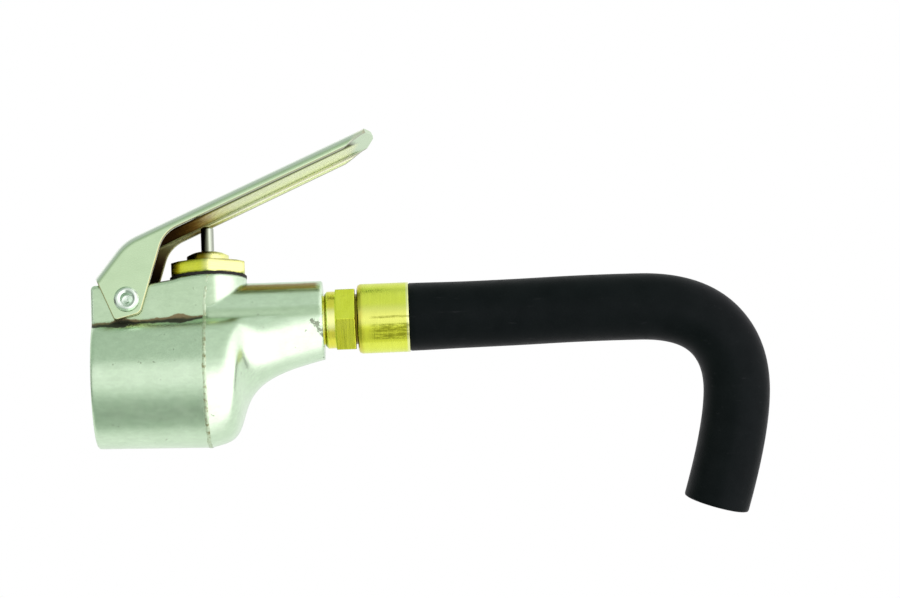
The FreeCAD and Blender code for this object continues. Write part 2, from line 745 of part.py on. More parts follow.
def make_push_pin():
    body = new_body("push_pin", x=size.stack_x)
    tip = pin_top_z()
    foot = cup_bottom_z() - size.poppet_nut_tall - 0.4
    turn(body, [
        (0, foot),
        (size.pin_neck_r - 0.3, foot),
        (size.pin_neck_r, foot + 0.3),
        (size.pin_neck_r, size.pin_neck_z),
        (size.pin_r, size.pin_neck_z + 0.3),
        (size.pin_r, tip, size.pin_tip_round),
        (0, tip),
    ])
    return body


def make_poppet():
    body = new_body("poppet_cup", x=size.stack_x, z=cup_bottom_z())
    turn(body, [
        (size.pin_neck_r, 0),
        (size.cup_r - 0.5, 0),
        (size.cup_r, 0.5),
        (size.cup_r, size.cup_floor + size.cup_wall_tall),
        (size.seal_r, size.cup_floor + size.cup_wall_tall),
        (size.seal_r, size.cup_floor),
        (size.pin_neck_r, size.cup_floor),
    ])
    return body


def make_poppet_seal():
    body = new_body("poppet_seal", x=size.stack_x, z=seal_bottom_z())
    turn(body, [
        (size.pin_neck_r, 0),
        (size.seal_r, 0),
        (size.seal_r, size.seal_thick),
        (size.pin_neck_r, size.seal_thick),
    ])
    return body


def make_poppet_nut():
    body = new_body("poppet_nut", x=size.stack_x, z=cup_bottom_z() - size.poppet_nut_tall)
    sketch = new_sketch(body, "XY_Plane")
    outline(sketch, hexagon(size.poppet_nut_flats, as_size(0)))
    circle(sketch, 0, 0, size.pin_neck_r)
    pad(body, sketch, size.poppet_nut_tall)
    return body


def make_valve_spring():
    floor = size.chamber_floor_z + size.spring_seat_gap
    rise = cup_bottom_z() - size.chamber_floor_z - 2 * size.spring_seat_gap - 2 * size.spring_wire_r
    body = new_body("valve_spring", x=size.stack_x, z=floor + size.spring_wire_r)
    sketch = new_sketch(body, "XZ_Plane")
    circle(sketch, size.spring_mean_r, 0, size.spring_wire_r)
    coil = body.newObject("PartDesign::AdditiveHelix", "valve_spring_coil")
    coil.Profile = sketch
    coil.ReferenceAxis = (sketch, ["V_Axis"])
    coil.Mode = "height-turns-angle"
    bind(coil, "Height", rise)
    bind(coil, "Turns", size.spring_turns)
    doc.recompute()
    return body


# Lever and its rivet

def knee_x():
    return size.lever_rear_x + size.rear_long * cosine(size.rear_angle)


def knee_z():
    return size.saddle_top + size.rear_lift + size.rear_long * sine(size.rear_angle)


def along_handle(distance, below=0):
    """A place on the handle: a distance from the knee, and a depth square to the top face."""
    below = as_size(below)
    return (knee_x() + distance * cosine(size.handle_angle) + below * sine(size.handle_angle),
            knee_z() + distance * sine(size.handle_angle) - below * cosine(size.handle_angle))


def flange_line_z(x):
    """Height of the flanges' lower edge at a place along X."""
    return (knee_z() + (x - knee_x()) * tangent(size.handle_angle)
            - size.flange_deep / cosine(size.handle_angle))


def handle_sketch(body):
    """A sketch in the plane of the handle's top face, with its origin at the knee."""
    sketch = new_sketch(body, "XY_Plane", right=knee_x(), out=knee_z())
    tilt = FreeCAD.Rotation(FreeCAD.Vector(0, -1, 0), size.handle_angle.value)
    sketch.AttachmentOffset = FreeCAD.Placement(sketch.AttachmentOffset.Base, tilt)
    bind(sketch, "AttachmentOffset.Rotation.Angle", size.handle_angle)
    return sketch


def offset_knee(inset):
    """The knee's corner, moved in from both panels."""
    both_x = sine(size.rear_angle) + sine(size.handle_angle)
    both_z = -cosine(size.rear_angle) - cosine(size.handle_angle)
    spread = 1 + cosine(size.rear_angle - size.handle_angle)
    return knee_x() + inset * both_x / spread, knee_z() + inset * both_z / spread


def along_rear(distance, inset=0):
    """A place on the rear panel: a distance down from the knee, and a depth square to it."""
    return (knee_x() - distance * cosine(size.rear_angle) + inset * sine(size.rear_angle),
            knee_z() - distance * sine(size.rear_angle) - inset * cosine(size.rear_angle))


def lever_half():
    return size.saddle_half + size.ear_gap + size.sheet


def shape_channel(body, corners, inset):
    """A block of the given side view, narrowed to the lever's plan, with its upper edges bent round."""
    half = lever_half() - inset
    side = new_sketch(body, "XZ_Plane")
    outline(side, corners)
    pad(body, side, 2 * (half + 2), Midplane=True)
    plan = handle_sketch(body)
    beyond = 10
    behind = -40
    taper = size.tip_inset / (size.handle_long - size.handle_taper_from)
    far = size.handle_long + beyond
    for side_sign in (1, -1):
        outline(plan, [
            (behind, side_sign * half),
            (size.handle_taper_from, side_sign * half, size.handle_taper_round),
            (far, side_sign * (half - size.tip_inset - beyond * taper)),
            (far, side_sign * (half + 4)),
            (behind, side_sign * (half + 4)),
        ])
    pocket(body, plan, 100, Midplane=True)
    block = body.Tip.Shape
    web = [face for face in block.Faces if is_web(face)]
    flanks = [face for face in block.Faces if abs(face.normalAt(*face_middle(face)).y) > 0.9]
    bends = []
    for index, edge in enumerate(block.Edges):
        in_web = any(edge.isSame(other) for face in web for other in face.Edges)
        in_flank = any(edge.isSame(other) for face in flanks for other in face.Edges)
        if in_web and in_flank:
            bends.append("Edge%d" % (index + 1))
    before = block.Volume
    feature(body, "Fillet", Base=(body.Tip, bends), Radius=size.bend_round - inset)
    must_change(body, before, grows=False)


def roll_outer_edges(body):
    """Rounds the edges where the flanks meet the cut faces below and in front of them."""
    block = body.Tip.Shape
    chosen = []
    for index, edge in enumerate(block.Edges):
        here = middle(edge)
        across = []
        for face in block.Faces:
            if any(edge.isSame(other) for other in face.Edges):
                across.append(abs(face.normalAt(*face.Surface.parameter(here)).y))
        if max(across) > 0.9 and min(across) < 0.05 and abs(here.y) > size.saddle_half.value:
            chosen.append("Edge%d" % (index + 1))
    before = block.Volume
    feature(body, "Fillet", Base=(body.Tip, chosen), Radius=size.edge_round)
    must_change(body, before, grows=False)


def make_lever():
    body = new_body("lever")
    tip_half = lever_half() - size.tip_inset

    # The sheet is what is left between an outer and an inner block
    shape_channel(body, [
        along_rear(size.rear_long),
        (knee_x(), knee_z(), size.knee_round),
        along_handle(size.handle_long),
        along_handle(size.handle_long, size.flange_deep),
        (size.ear_front_x, flange_line_z(size.ear_front_x), size.ear_front_round),
        (size.ear_toe_x, size.ear_toe_z, size.ear_toe_round),
        (size.ear_heel_x, size.ear_heel_z, size.ear_heel_round),
    ], as_size(0))
    roll_outer_edges(body)
    core = new_body("lever_core")
    inner_knee = offset_knee(size.sheet)
    beyond_tip = along_handle(size.handle_long + 4, size.sheet)
    behind_lever = -15
    shape_channel(core, [
        along_rear(size.rear_long + 6, size.sheet),
        (inner_knee[0], inner_knee[1], size.knee_round - size.sheet),
        beyond_tip,
        (beyond_tip[0], 0),
        (behind_lever, 0),
    ], size.sheet)
    hollow = body.newObject("PartDesign::Boolean", "lever_hollow")
    hollow.addObject(core)
    hollow.Type = "Cut"
    doc.recompute()

    # The flanges fade out before the tip and leave a flat tongue
    trim = new_sketch(body, "XZ_Plane")
    fade_end = size.handle_long - size.tongue_long
    fade_start = fade_end - size.flange_fade
    just_below = size.flange_deep + 0.02
    outline(trim, [
        along_handle(size.handle_long + 3, size.sheet),
        (*along_handle(fade_end, size.sheet), size.flange_fade_round),
        (*along_handle(fade_start, just_below), size.flange_fade_round),
        along_handle(fade_start - 4, just_below),
        along_handle(fade_start - 4, size.flange_deep + 4),
        along_handle(size.handle_long + 3, size.flange_deep + 4),
    ])
    pocket(body, trim, 4 * lever_half(), Midplane=True)

    # The tongue's rounded corners
    corners = handle_sketch(body)
    for side_sign in (1, -1):
        outline(corners, [
            (size.handle_long - size.tip_slant - 8, side_sign * (tip_half + 0.4)),
            (size.handle_long - size.tip_slant, side_sign * (tip_half - 0.05), size.tip_round),
            (size.handle_long + 0.01, side_sign * size.tip_flat_half),
            (size.handle_long + 4, side_sign * size.tip_flat_half),
            (size.handle_long + 4, side_sign * (tip_half + 4)),
            (size.handle_long - size.tip_slant - 8, side_sign * (tip_half + 4)),
        ])
    pocket(body, corners, 20, Midplane=True)

    hole = new_sketch(body, "XZ_Plane")
    circle(hole, size.pivot_x, size.pivot_z, size.rivet_r + size.rivet_fit)
    pocket(body, hole, 4 * lever_half(), Midplane=True)
    return body


def face_middle(face):
    low_u, high_u, low_v, high_v = face.ParameterRange
    return (low_u + high_u) / 2, (low_v + high_v) / 2


def is_web(face):
    """True for the faces on the lever's outside that run from its rear edge to its tip."""
    normal = face.normalAt(*face_middle(face))
    return abs(normal.y) < 0.01 and normal.z > 0.55


def make_pivot_rivet():
    body = new_body("pivot_rivet", x=size.pivot_x, z=size.pivot_z)
    seat = lever_half() + size.rivet_play
    head = seat + size.rivet_head_thick
    clinch = -seat - size.clinch_thick
    turn(body, [
        (0, head),
        (size.rivet_head_r - 1.1, head),
        (size.rivet_head_r, head - 0.8),
        (size.rivet_head_r, seat),
        (size.rivet_r, seat),
        (size.rivet_r, -seat),
        (size.clinch_r - 0.3, -seat),
        (size.clinch_r, -seat - 0.3),
        (size.clinch_r - 0.45, clinch + 0.15, 0.2),
        (size.rivet_hollow_r + 0.55, clinch, 0.3),
        (size.rivet_hollow_r, clinch + 0.45),
        (size.rivet_hollow_r, clinch + size.rivet_hollow_deep),
        (0, clinch + size.rivet_hollow_deep + 0.5),
    ], plane="XY_Plane")
    return body


# Outlet fittings

def collar_x():
    return size.neck_face_x + size.stem_gap


def hex_x():
    return collar_x() + size.collar_long


def groove_x():
    return hex_x() + size.stem_hex_long


def make_hose_stem():
    body = new_body("hose_stem", z=size.outlet_z)
    thread_r = size.neck_bore_r - size.thread_gap
    start = size.neck_face_x - size.neck_bore_depth + 1.0
    shank_x = groove_x() + size.groove_long
    end = shank_x + size.shank_long
    profile = [
        (start, size.outlet_r),
        (start, thread_r - 0.8),
        (start + 0.8, thread_r),
        (collar_x() - 0.6, thread_r),
        (collar_x() - 0.6, thread_r - 0.5),
        (collar_x(), thread_r - 0.5),
        (collar_x(), size.collar_r - size.collar_round),
        (collar_x() + size.collar_round, size.collar_r),
        (hex_x(), size.collar_r),
        (hex_x(), size.groove_r),
        (shank_x, size.groove_r),
        (shank_x, size.shank_r),
    ]
    for barb in range(3):
        foot = shank_x + 2.0 + barb * size.barb_pitch
        profile += [
            (foot, size.shank_r),
            (foot, size.shank_r + size.barb_tall),
            (foot + 0.7, size.shank_r + size.barb_tall),
            (foot + size.barb_pitch - 0.6, size.shank_r),
        ]
    profile += [
        (end - 0.6, size.shank_r),
        (end, size.shank_r - 0.5),
        (end, size.outlet_r),
    ]
    turn(body, profile, axis="H_Axis")
    sketch = new_sketch(body, "YZ_Plane", out=hex_x())
    outline(sketch, hexagon(size.stem_flats, as_size(90) + size.stem_turn))
    circle(sketch, 0, 0, size.outlet_r + 1)
    pad(body, sketch, size.stem_hex_long)
    corner_r = size.stem_flats / math.sqrt(3)
    for edge_x, inward in ((hex_x(), 1), (groove_x(), -1)):
        turn(body, [
            (edge_x, corner_r - size.stem_bevel),
            (edge_x + inward * 0.5 * (size.stem_bevel + 1), corner_r + 1),
            (edge_x - inward * 0.3, corner_r + 1),
            (edge_x - inward * 0.3, corner_r - size.stem_bevel),
        ], axis="H_Axis", cut=True)
    return body


def make_ferrule():
    body = new_body("ferrule", x=size.ferrule_x, z=size.outlet_z)
    inner = size.ferrule_r - size.ferrule_wall
    turn(body, [
        (0, size.groove_r + 0.05),
        (0, size.ferrule_r - size.ferrule_bevel),
        (size.ferrule_bevel * 0.3, size.ferrule_r - size.ferrule_bevel * 0.3),
        (size.ferrule_bevel, size.ferrule_r),
        (size.ferrule_long, size.ferrule_r),
        (size.ferrule_long, inner),
        (size.ferrule_bevel, inner),
        (size.ferrule_end_thick, inner - size.ferrule_bevel + size.ferrule_end_thick),
        (size.ferrule_end_thick, size.groove_r + 0.05),
    ], axis="H_Axis")
    return body


# Hose

def hose_start():
    return size.ferrule_x + size.ferrule_long + size.hose_step


def hose_points():
    """The route in space: the plane of the bend is rolled about the hose's straight part."""
    roll = math.radians(size.hose_roll.value)
    return [FreeCAD.Vector(hose_start().value + along, -up * math.sin(roll),
                           size.outlet_z.value + up * math.cos(roll)) for along, up in HOSE_ROUTE]


def route_wire(points):
    """Straight runs joined by tangent arcs, each as large as its two runs allow."""
    edges = []
    here = points[0]
    for before, corner, after in zip(points, points[1:], points[2:]):
        to_before = before - corner
        to_after = after - corner
        turn_angle = math.pi - to_before.getAngle(to_after)
        reach = 0.45 * min(to_before.Length, to_after.Length)
        radius = reach / math.tan(turn_angle / 2)
        print("hose bend: radius %.1f, turn %.1f degrees" % (radius, math.degrees(turn_angle)))
        start = corner + to_before.normalize() * reach
        end = corner + to_after.normalize() * reach
        inward = (to_before + to_after).normalize()
        crown = corner + inward * (radius / math.cos(turn_angle / 2) - radius)
        edges.append(Part.LineSegment(here, start).toShape())
        edges.append(Part.Arc(start, crown, end).toShape())
        here = end
    edges.append(Part.LineSegment(here, points[-1]).toShape())
    return Part.Wire(edges)


def sweep(path, radius):
    start = path.Vertexes[0].Point
    heading = path.Edges[0].tangentAt(path.Edges[0].FirstParameter)
    ring = Part.Wire([Part.makeCircle(radius, start, heading)])
    return path.makePipeShell([ring], True, False)


def make_hose():
    path = route_wire(hose_points())
    tube = sweep(path, size.hose_r.value)
    bore = sweep(path, size.hose_bore_r.value)
    section = math.pi * size.hose_r.value ** 2
    print("hose: length %.1f, swept volume %.0f, section times length %.0f"
          % (path.Length, tube.Volume, section * path.Length))

    # Inside the ferrule the hose is straight and a little thinner
    grip_x = size.ferrule_x + size.ferrule_bevel + size.hose_step
    grip_r = size.ferrule_r - size.ferrule_wall - size.hose_grip_gap
    grip_long = (hose_start() - grip_x).value
    base = FreeCAD.Vector(grip_x.value, 0, size.outlet_z.value)
    along = FreeCAD.Vector(1, 0, 0)
    grip = Part.makeCylinder(grip_r.value, grip_long, base, along)
    grip_bore = Part.makeCylinder(size.hose_bore_r.value, grip_long, base, along)
    solid = tube.cut(bore).fuse(grip.cut(grip_bore)).removeSplitter()
    hose = doc.addObject("Part::Feature", "hose")
    hose.Label = "hose"
    hose.Shape = solid.Solids[0]
    return hose


BUILDERS = [
    make_valve_body,
    make_socket_washer,
    make_inlet_screen,
    make_gland_gasket,
    make_gland_nut,
    make_packing_follower,
    make_pin_ring,
    make_seat_gasket,
    make_valve_seat,
    make_push_pin,
    make_poppet,
    make_poppet_seal,
    make_poppet_nut,
    make_valve_spring,
    make_lever,
    make_pivot_rivet,
    make_hose_stem,
    make_ferrule,
    make_hose,
]

parts = [build() for build in BUILDERS]
doc.recompute()

for thing in doc.Objects:
    if "Invalid" in thing.State or "Error" in thing.State:
        raise RuntimeError(thing.Name + " failed: " + str(thing.State))
for part in parts:
    if part.Shape.isNull() or not part.Shape.isValid() or not part.Shape.Solids:
        raise RuntimeError(part.Label + " has no valid solid")

os.makedirs("parts", exist_ok=True)
for part in parts:
    part.Shape.exportStep("parts/" + part.Label + ".step")
    print("%-18s %9.1f mm3, solids %d" % (part.Label, part.Shape.Volume, len(part.Shape.Solids)))
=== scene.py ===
import bpy
import json
import math
import random
from mathutils import Matrix, Vector


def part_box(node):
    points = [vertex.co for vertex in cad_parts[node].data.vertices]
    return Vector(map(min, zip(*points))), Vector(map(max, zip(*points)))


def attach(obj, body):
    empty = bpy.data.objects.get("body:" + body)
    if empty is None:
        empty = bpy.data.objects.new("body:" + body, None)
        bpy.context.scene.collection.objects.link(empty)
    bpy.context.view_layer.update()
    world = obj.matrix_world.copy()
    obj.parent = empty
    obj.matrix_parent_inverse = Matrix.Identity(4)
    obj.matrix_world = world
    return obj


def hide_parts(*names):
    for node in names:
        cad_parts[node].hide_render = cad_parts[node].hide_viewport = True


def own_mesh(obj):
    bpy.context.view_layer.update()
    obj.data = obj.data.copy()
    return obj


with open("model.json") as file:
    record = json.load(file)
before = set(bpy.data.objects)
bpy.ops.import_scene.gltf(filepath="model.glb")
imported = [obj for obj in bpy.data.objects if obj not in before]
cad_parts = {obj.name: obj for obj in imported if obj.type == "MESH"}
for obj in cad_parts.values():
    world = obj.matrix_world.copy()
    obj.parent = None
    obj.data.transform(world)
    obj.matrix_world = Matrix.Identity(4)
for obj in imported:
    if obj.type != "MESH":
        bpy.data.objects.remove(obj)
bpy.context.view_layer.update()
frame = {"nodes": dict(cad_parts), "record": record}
nodes = frame["nodes"]
MM = 0.001

# Places and sizes of the CAD model that the scene's own pieces and painted marks follow, in millimetres
OUTLET_Z = 13.0
STACK_X = 27.4
SEAM_X = 26.8
SADDLE_HALF = 9.1
SADDLE_SIDE_LOW_Z = 13.62
BOSS_TOP = 23.8
NECK_START_X = 35.0
NECK_END_X = 54.4
NUT_TOP = 27.55
KNEE_X, KNEE_Z = 8.155, 32.33
HANDLE_SLOPE = math.radians(23.6)
HEX_X = 57.6
COLLAR_LONG = 2.6
GROOVE_X = 62.2
FERRULE_END_X = 75.0

# Casting: how far its corners look rounded, and its painted marks by their places: the height of the
# painted reflection of the lever along the neck, the height and slope of the corner above the socket,
# lumps of painted shade in that corner as (X, extra width), and smudges at the neck's end as (X,
# height, size)
CAST_CORNER = 1.2
NECK_REFLECTION_Z = 20.6
SOCKET_CORNER_Z = 12.40
SOCKET_CORNER_SLOPE = 0.034
CORNER_SHADE_LUMPS = [(7.0, 0.55), (19.8, 0.25), (21.4, 0.35)]
NECK_SMUDGES = [(52.2, 11.3, 0.30), (53.2, 10.7, 0.40), (53.9, 9.4, 0.34), (54.3, 8.2, 0.22)]

# Lever: where it starts to narrow, and by how much of its length
TAPER_START = 12.0
TAPER = 0.0133

# Painted shade and light on the lever's inside, as colours by the distance from its knee, over the
# given span: under the web, on the inside of the flanges, and on the flanges' edges
CHANNEL_SPAN = (0.0, 60.0)
WALL_SPAN = (-20.0, 40.0)
CHANNEL_SHADE_TONES = [
    (8.0, (0.040, 0.018, 0.005)),
    (12.5, (0.052, 0.024, 0.006)),
    (15.0, (0.115, 0.060, 0.010)),
    (17.5, (0.24, 0.135, 0.028)),
    (20.5, (0.58, 0.45, 0.12)),
    (23.0, (0.80, 0.80, 0.30)),
    (28.0, (0.80, 0.90, 0.46)),
    (45.0, (0.88, 1.00, 0.56)),
]
WALL_SHADE_TONES = [
    (-15.0, (0.014, 0.008, 0.005)),
    (-5.0, (0.020, 0.012, 0.004)),
    (0.0, (0.062, 0.036, 0.014)),
    (2.5, (0.16, 0.12, 0.045)),
    (5.5, (0.31, 0.30, 0.10)),
    (9.0, (0.66, 0.73, 0.36)),
    (12.5, (0.56, 0.57, 0.22)),
    (14.5, (0.29, 0.24, 0.075)),
    (18.0, (0.46, 0.46, 0.20)),
    (21.0, (0.70, 0.77, 0.38)),
    (25.0, (0.76, 0.82, 0.56)),
    (30.0, (0.88, 0.95, 0.68)),
]
RIM_LIGHT_TONES = [
    (-12.0, (0.50, 0.42, 0.16)),
    (-4.0, (0.80, 0.78, 0.34)),
    (5.0, (0.95, 0.98, 0.46)),
    (10.0, (0.80, 0.80, 0.36)),
    (12.5, (0.05, 0.030, 0.004)),
    (17.0, (0.03, 0.016, 0.002)),
    (20.0, (0.40, 0.40, 0.18)),
    (25.0, (0.88, 0.93, 0.70)),
]

# Lime-yellow brass, dark to light, and the palest where it is lit
BRASS_TONES = [(0.70, 0.78, 0.05), (0.82, 0.92, 0.08), (0.88, 0.98, 0.12)]
BRASS_PALE = (0.86, 0.90, 0.34)


# Node materials

class Nodes:
    """Builds a material's node tree in few words."""

    def __init__(self, name):
        self.material = bpy.data.materials.new(name)
        self.material.use_nodes = True
        self.tree = self.material.node_tree
        self.shader = self.tree.nodes["Principled BSDF"]

    def add(self, kind, **settings):
        node = self.tree.nodes.new("ShaderNode" + kind)
        for key, setting in settings.items():
            setattr(node, key, setting)
        return node

    def join(self, output, target):
        self.tree.links.new(output, target)

    def feed(self, node, name, source):
        """Joins a node's output to a socket, or sets the socket to a number or colour."""
        if hasattr(source, "links"):
            self.join(source, node.inputs[name])
        else:
            node.inputs[name].default_value = source

    def place(self, scale=(1, 1, 1), turned=(0, 0, 0)):
        """The object's own coordinates in metres, which don't slide when it moves."""
        mapping = self.add("Mapping")
        mapping.inputs["Scale"].default_value = scale
        mapping.inputs["Rotation"].default_value = turned
        self.join(self.add("TexCoord").outputs["Object"], mapping.inputs["Vector"])
        return mapping.outputs["Vector"]

    def noise(self, scale, detail=3.0, roughness=0.5, vector=None, distortion=0.0):
        texture = self.add("TexNoise")
        texture.inputs["Scale"].default_value = scale
        texture.inputs["Detail"].default_value = detail
        texture.inputs["Roughness"].default_value = roughness
        texture.inputs["Distortion"].default_value = distortion
        self.join(vector if vector else self.place(), texture.inputs["Vector"])
        return texture.outputs["Fac"]

    def ramp(self, source, stops, mode="LINEAR"):
        node = self.add("ValToRGB")
        node.color_ramp.interpolation = mode
        elements = node.color_ramp.elements
        while len(elements) < len(stops):
            elements.new(0.5)
        for element, (position, colour) in zip(elements, stops):
            element.position = position
            if isinstance(colour, (int, float)):
                colour = (colour, colour, colour)
            element.color = (*colour, 1.0)
        self.join(source, node.inputs["Fac"])
        return node.outputs["Color"]

    def math(self, operation, first, second=0.0, third=None):
        node = self.add("Math", operation=operation)
        for index, source in enumerate((first, second, third)):
            if source is not None:
                self.feed(node, index, source)
        return node.outputs["Value"]

    def mix(self, share, first, second, blend="MIX"):
        node = self.add("Mix", data_type="RGBA", blend_type=blend)
        for index, source in ((0, share), (6, first), (7, second)):
            if hasattr(source, "links"):
                self.join(source, node.inputs[index])
            elif index == 0:
                node.inputs[index].default_value = source
            else:
                node.inputs[index].default_value = (*source, 1.0)
        return node.outputs[2]

    def tones(self, distance, stops, start, end):
        """A ramp whose stops are given as distances."""
        share = self.math("MULTIPLY_ADD", distance, 1.0 / (end - start), -start / (end - start))
        return self.ramp(share, [((place - start) / (end - start), colour) for place, colour in stops])

    def rims(self, radius, start, end, narrowed):
        """1 along the edges of sheet, in a band that the last source narrows."""
        node = self.add("VectorMath", operation="DOT_PRODUCT")
        self.join(self.softened(radius), node.inputs[0])
        self.join(self.add("NewGeometry").outputs["Normal"], node.inputs[1])
        return self.step(self.math("ADD", node.outputs["Value"], narrowed), start, end)

    def split(self, vector, scale=1.0):
        """The three parts of a vector, scaled."""
        if scale != 1.0:
            vector = self.scaled(vector, scale)
        parts = self.add("SeparateXYZ")
        self.join(vector, parts.inputs[0])
        return [parts.outputs[index] for index in range(3)]

    def scaled(self, vector, scale):
        node = self.add("VectorMath", operation="SCALE")
        self.join(vector, node.inputs[0])
        node.inputs["Scale"].default_value = scale
        return node.outputs["Vector"]

    def facing(self):
        """The surface's direction in the object's own axes."""
        return self.split(self.add("TexCoord").outputs["Normal"])

    def step(self, source, start, end):
        """0 at the start and 1 at the end, smooth between them."""
        node = self.add("MapRange", interpolation_type="SMOOTHSTEP")
        node.inputs["From Min"].default_value = min(start, end)
        node.inputs["From Max"].default_value = max(start, end)
        if start > end:
            node.inputs["To Min"].default_value = 1.0
            node.inputs["To Max"].default_value = 0.0
        self.feed(node, "Value", source)
        return node.outputs["Result"]

    def both(self, first, *others):
        """1 where every source is 1."""
        for other in others:
            first = self.math("MULTIPLY", first, other)
        return first

    def either(self, first, *others):
        """1 where any source is 1."""
        for other in others:
            first = self.math("MAXIMUM", first, other)
        return first

    def line(self, source, half, soft):
        """1 where the source is nearly 0."""
        return self.step(self.math("ABSOLUTE", source), half + soft, half)

    def along(self, first, first_share, second, second_share, offset=0.0):
        """The distance in a direction that has a share of each source."""
        total = self.math("MULTIPLY_ADD", first, first_share, offset)
        return self.math("MULTIPLY_ADD", second, second_share, total)

    def softened(self, radius):
        """The surface's direction as if its corners were rounded a little."""
        node = self.add("Bevel")
        node.samples = 6
        node.inputs["Radius"].default_value = radius
        return node.outputs["Normal"]

    def bump(self, height, distance, strength=1.0, under=None):
        node = self.add("Bump")
        node.inputs["Strength"].default_value = strength
        node.inputs["Distance"].default_value = distance
        self.join(height, node.inputs["Height"])
        if under:
            self.join(under, node.inputs["Normal"])
        return node.outputs["Normal"]

    def finish(self, **sockets):
        """Feeds the shader's sockets and gives the material."""
        for name, source in sockets.items():
            self.feed(self.shader, name.replace("_", " "), source)
        return self.material


def painted_corner_shade(m, x, y, z, wander):
    """Where shade is painted in the corner between the saddle and the socket, deeper under the
    ear, and its colour: dark at the bottom, brown at the top."""
    corner_z = m.along(x, SOCKET_CORNER_SLOPE, wander, 1.6, SOCKET_CORNER_Z)
    patches = m.noise(1.0, 2, 0.5, vector=m.place(scale=(150, 40, 40)))
    width = m.math("MULTIPLY_ADD", patches, 1.7, -0.32)
    for place, extra in CORNER_SHADE_LUMPS:
        lump = m.line(m.math("SUBTRACT", x, place), 0.2, 1.9)
        width = m.math("MULTIPLY_ADD", lump, extra, width)
    reach = m.math("SUBTRACT", m.math("ABSOLUTE", m.math("SUBTRACT", z, corner_z)), width)
    corner_shade = m.both(m.step(reach, 0.3, -0.1), m.step(x, SEAM_X, SEAM_X - 0.5),
                   m.step(m.math("ABSOLUTE", y), SADDLE_HALF - 1.3, SADDLE_HALF - 0.5))
    under_ear = m.line(m.math("SUBTRACT", x, CORNER_SHADE_LUMPS[0][0]), 1.0, 2.5)
    depth = m.math("MULTIPLY_ADD", under_ear, 0.6, m.math("SUBTRACT", corner_z, z))
    tone = m.ramp(m.step(depth, -0.7, 0.5), [(0.2, (0.26, 0.19, 0.09)), (0.8, (0.020, 0.011, 0.006))])
    return corner_shade, tone


def neck_smudges(m, x, y, z):
    """Where the neck's end is smudged, on the photographed side."""
    cluster = 0.0
    for place_x, place_z, size in NECK_SMUDGES:
        off_x = m.math("SUBTRACT", x, place_x)
        off_z = m.math("SUBTRACT", z, place_z)
        away = m.math("SQRT", m.math("ADD", m.both(off_x, off_x), m.both(off_z, off_z)))
        cluster = m.either(m.step(away, 4.4 * size, 0.3 * size), cluster)
    broken = m.math("MULTIPLY_ADD", m.noise(2300, 3, 0.7), 2.2, m.math("SUBTRACT", cluster, 1.62))
    return m.both(m.step(broken, 0.0, 0.3), m.step(y, 0.0, -2.0))


def nickel_cast():
    """Satin nickel on a tumbled die casting: soft gloss, faint ripples, pits, painted shade on its flat
    sides and in its corners, and a painted reflection along its neck.
    """
    m = Nodes("nickel_cast")
    x, y, z = m.split(m.place(), 1.0 / MM)
    face_x, face_y, _ = m.facing()
    wander = m.math("SUBTRACT", m.noise(330, 3, 0.6), 0.5)
    colour = m.ramp(m.noise(120, 4, 0.55), [(0.3, (0.63, 0.82, 0.58)), (0.7, (0.69, 0.88, 0.64))])

    # Painted shade: the saddle's flat sides are darker than the round surfaces
    shaded_flat_side = m.both(m.step(m.math("ABSOLUTE", face_y), 0.96, 0.99), m.step(z, 12.0, 13.2))
    colour = m.mix(m.math("MULTIPLY", shaded_flat_side, 0.25), colour, (0.09, 0.23, 0.01))

    # Painted reflection of the lever's dark underside: an ochre band along the top of the neck
    reflection_height = m.math("ADD", m.math("SUBTRACT", z, NECK_REFLECTION_Z), m.math("MULTIPLY", wander, 0.5))
    stain_and_reflection = m.both(m.line(reflection_height, 0.55, 0.7), m.step(x, NECK_START_X - 1.5, NECK_START_X + 1.5),
                   m.step(x, NECK_END_X, NECK_END_X - 1.8), m.step(face_x, 0.4, 0.2))
    colour = m.mix(m.math("MULTIPLY", stain_and_reflection, 0.9), colour, (0.30, 0.19, 0.03))

    # Painted shade in the corner between the saddle and the socket, darkest under the ear
    corner_shade, corner_shade_tone = painted_corner_shade(m, x, y, z, wander)
    colour = m.mix(m.math("MULTIPLY", corner_shade, 0.9), colour, corner_shade_tone)
    colour = m.mix(m.math("MULTIPLY", neck_smudges(m, x, y, z), 0.72), colour, (0.07, 0.08, 0.04))

    # Mottled all over, with dark specks in its pits
    mottle = m.noise(1.0, 4, 0.75, vector=m.place(scale=(420, 800, 800)))
    colour = m.mix(1.0, colour, m.ramp(mottle, [(0.3, 0.94), (0.7, 1.05)]), "MULTIPLY")
    specks = m.ramp(m.noise(620, 2, 0.6), [(0.71, 0.0), (0.75, 1.0)])
    colour = m.mix(m.math("MULTIPLY", specks, 0.5), colour, (0.10, 0.09, 0.05))
    gloss = m.ramp(m.noise(300, 3, 0.6), [(0.3, 0.19), (0.7, 0.27)])
    gloss = m.either(gloss, m.math("MULTIPLY", corner_shade, 0.6))
    ripples = m.bump(m.noise(220, 3, 0.5), 0.0001, 0.31, under=m.softened(CAST_CORNER * MM))
    grain = m.bump(m.noise(2600, 3, 0.6), 0.00004, 0.3, under=ripples)
    return m.finish(Base_Color=colour, Metallic=1.0, Roughness=gloss, Normal=grain)


def parting_flash():
    """The casting's parting line: torn metal, yellowish on its crests and dark in its pits."""
    m = Nodes("parting_flash")
    tear = m.noise(900, 4, 0.75)
    colour = m.ramp(tear, [
        (0.34, (0.26, 0.27, 0.13)), (0.42, (0.46, 0.54, 0.32)), (0.52, (0.62, 0.78, 0.54))])
    return m.finish(Base_Color=colour, Metallic=0.9, Roughness=0.42, Normal=m.bump(tear, 0.00008, 0.5))


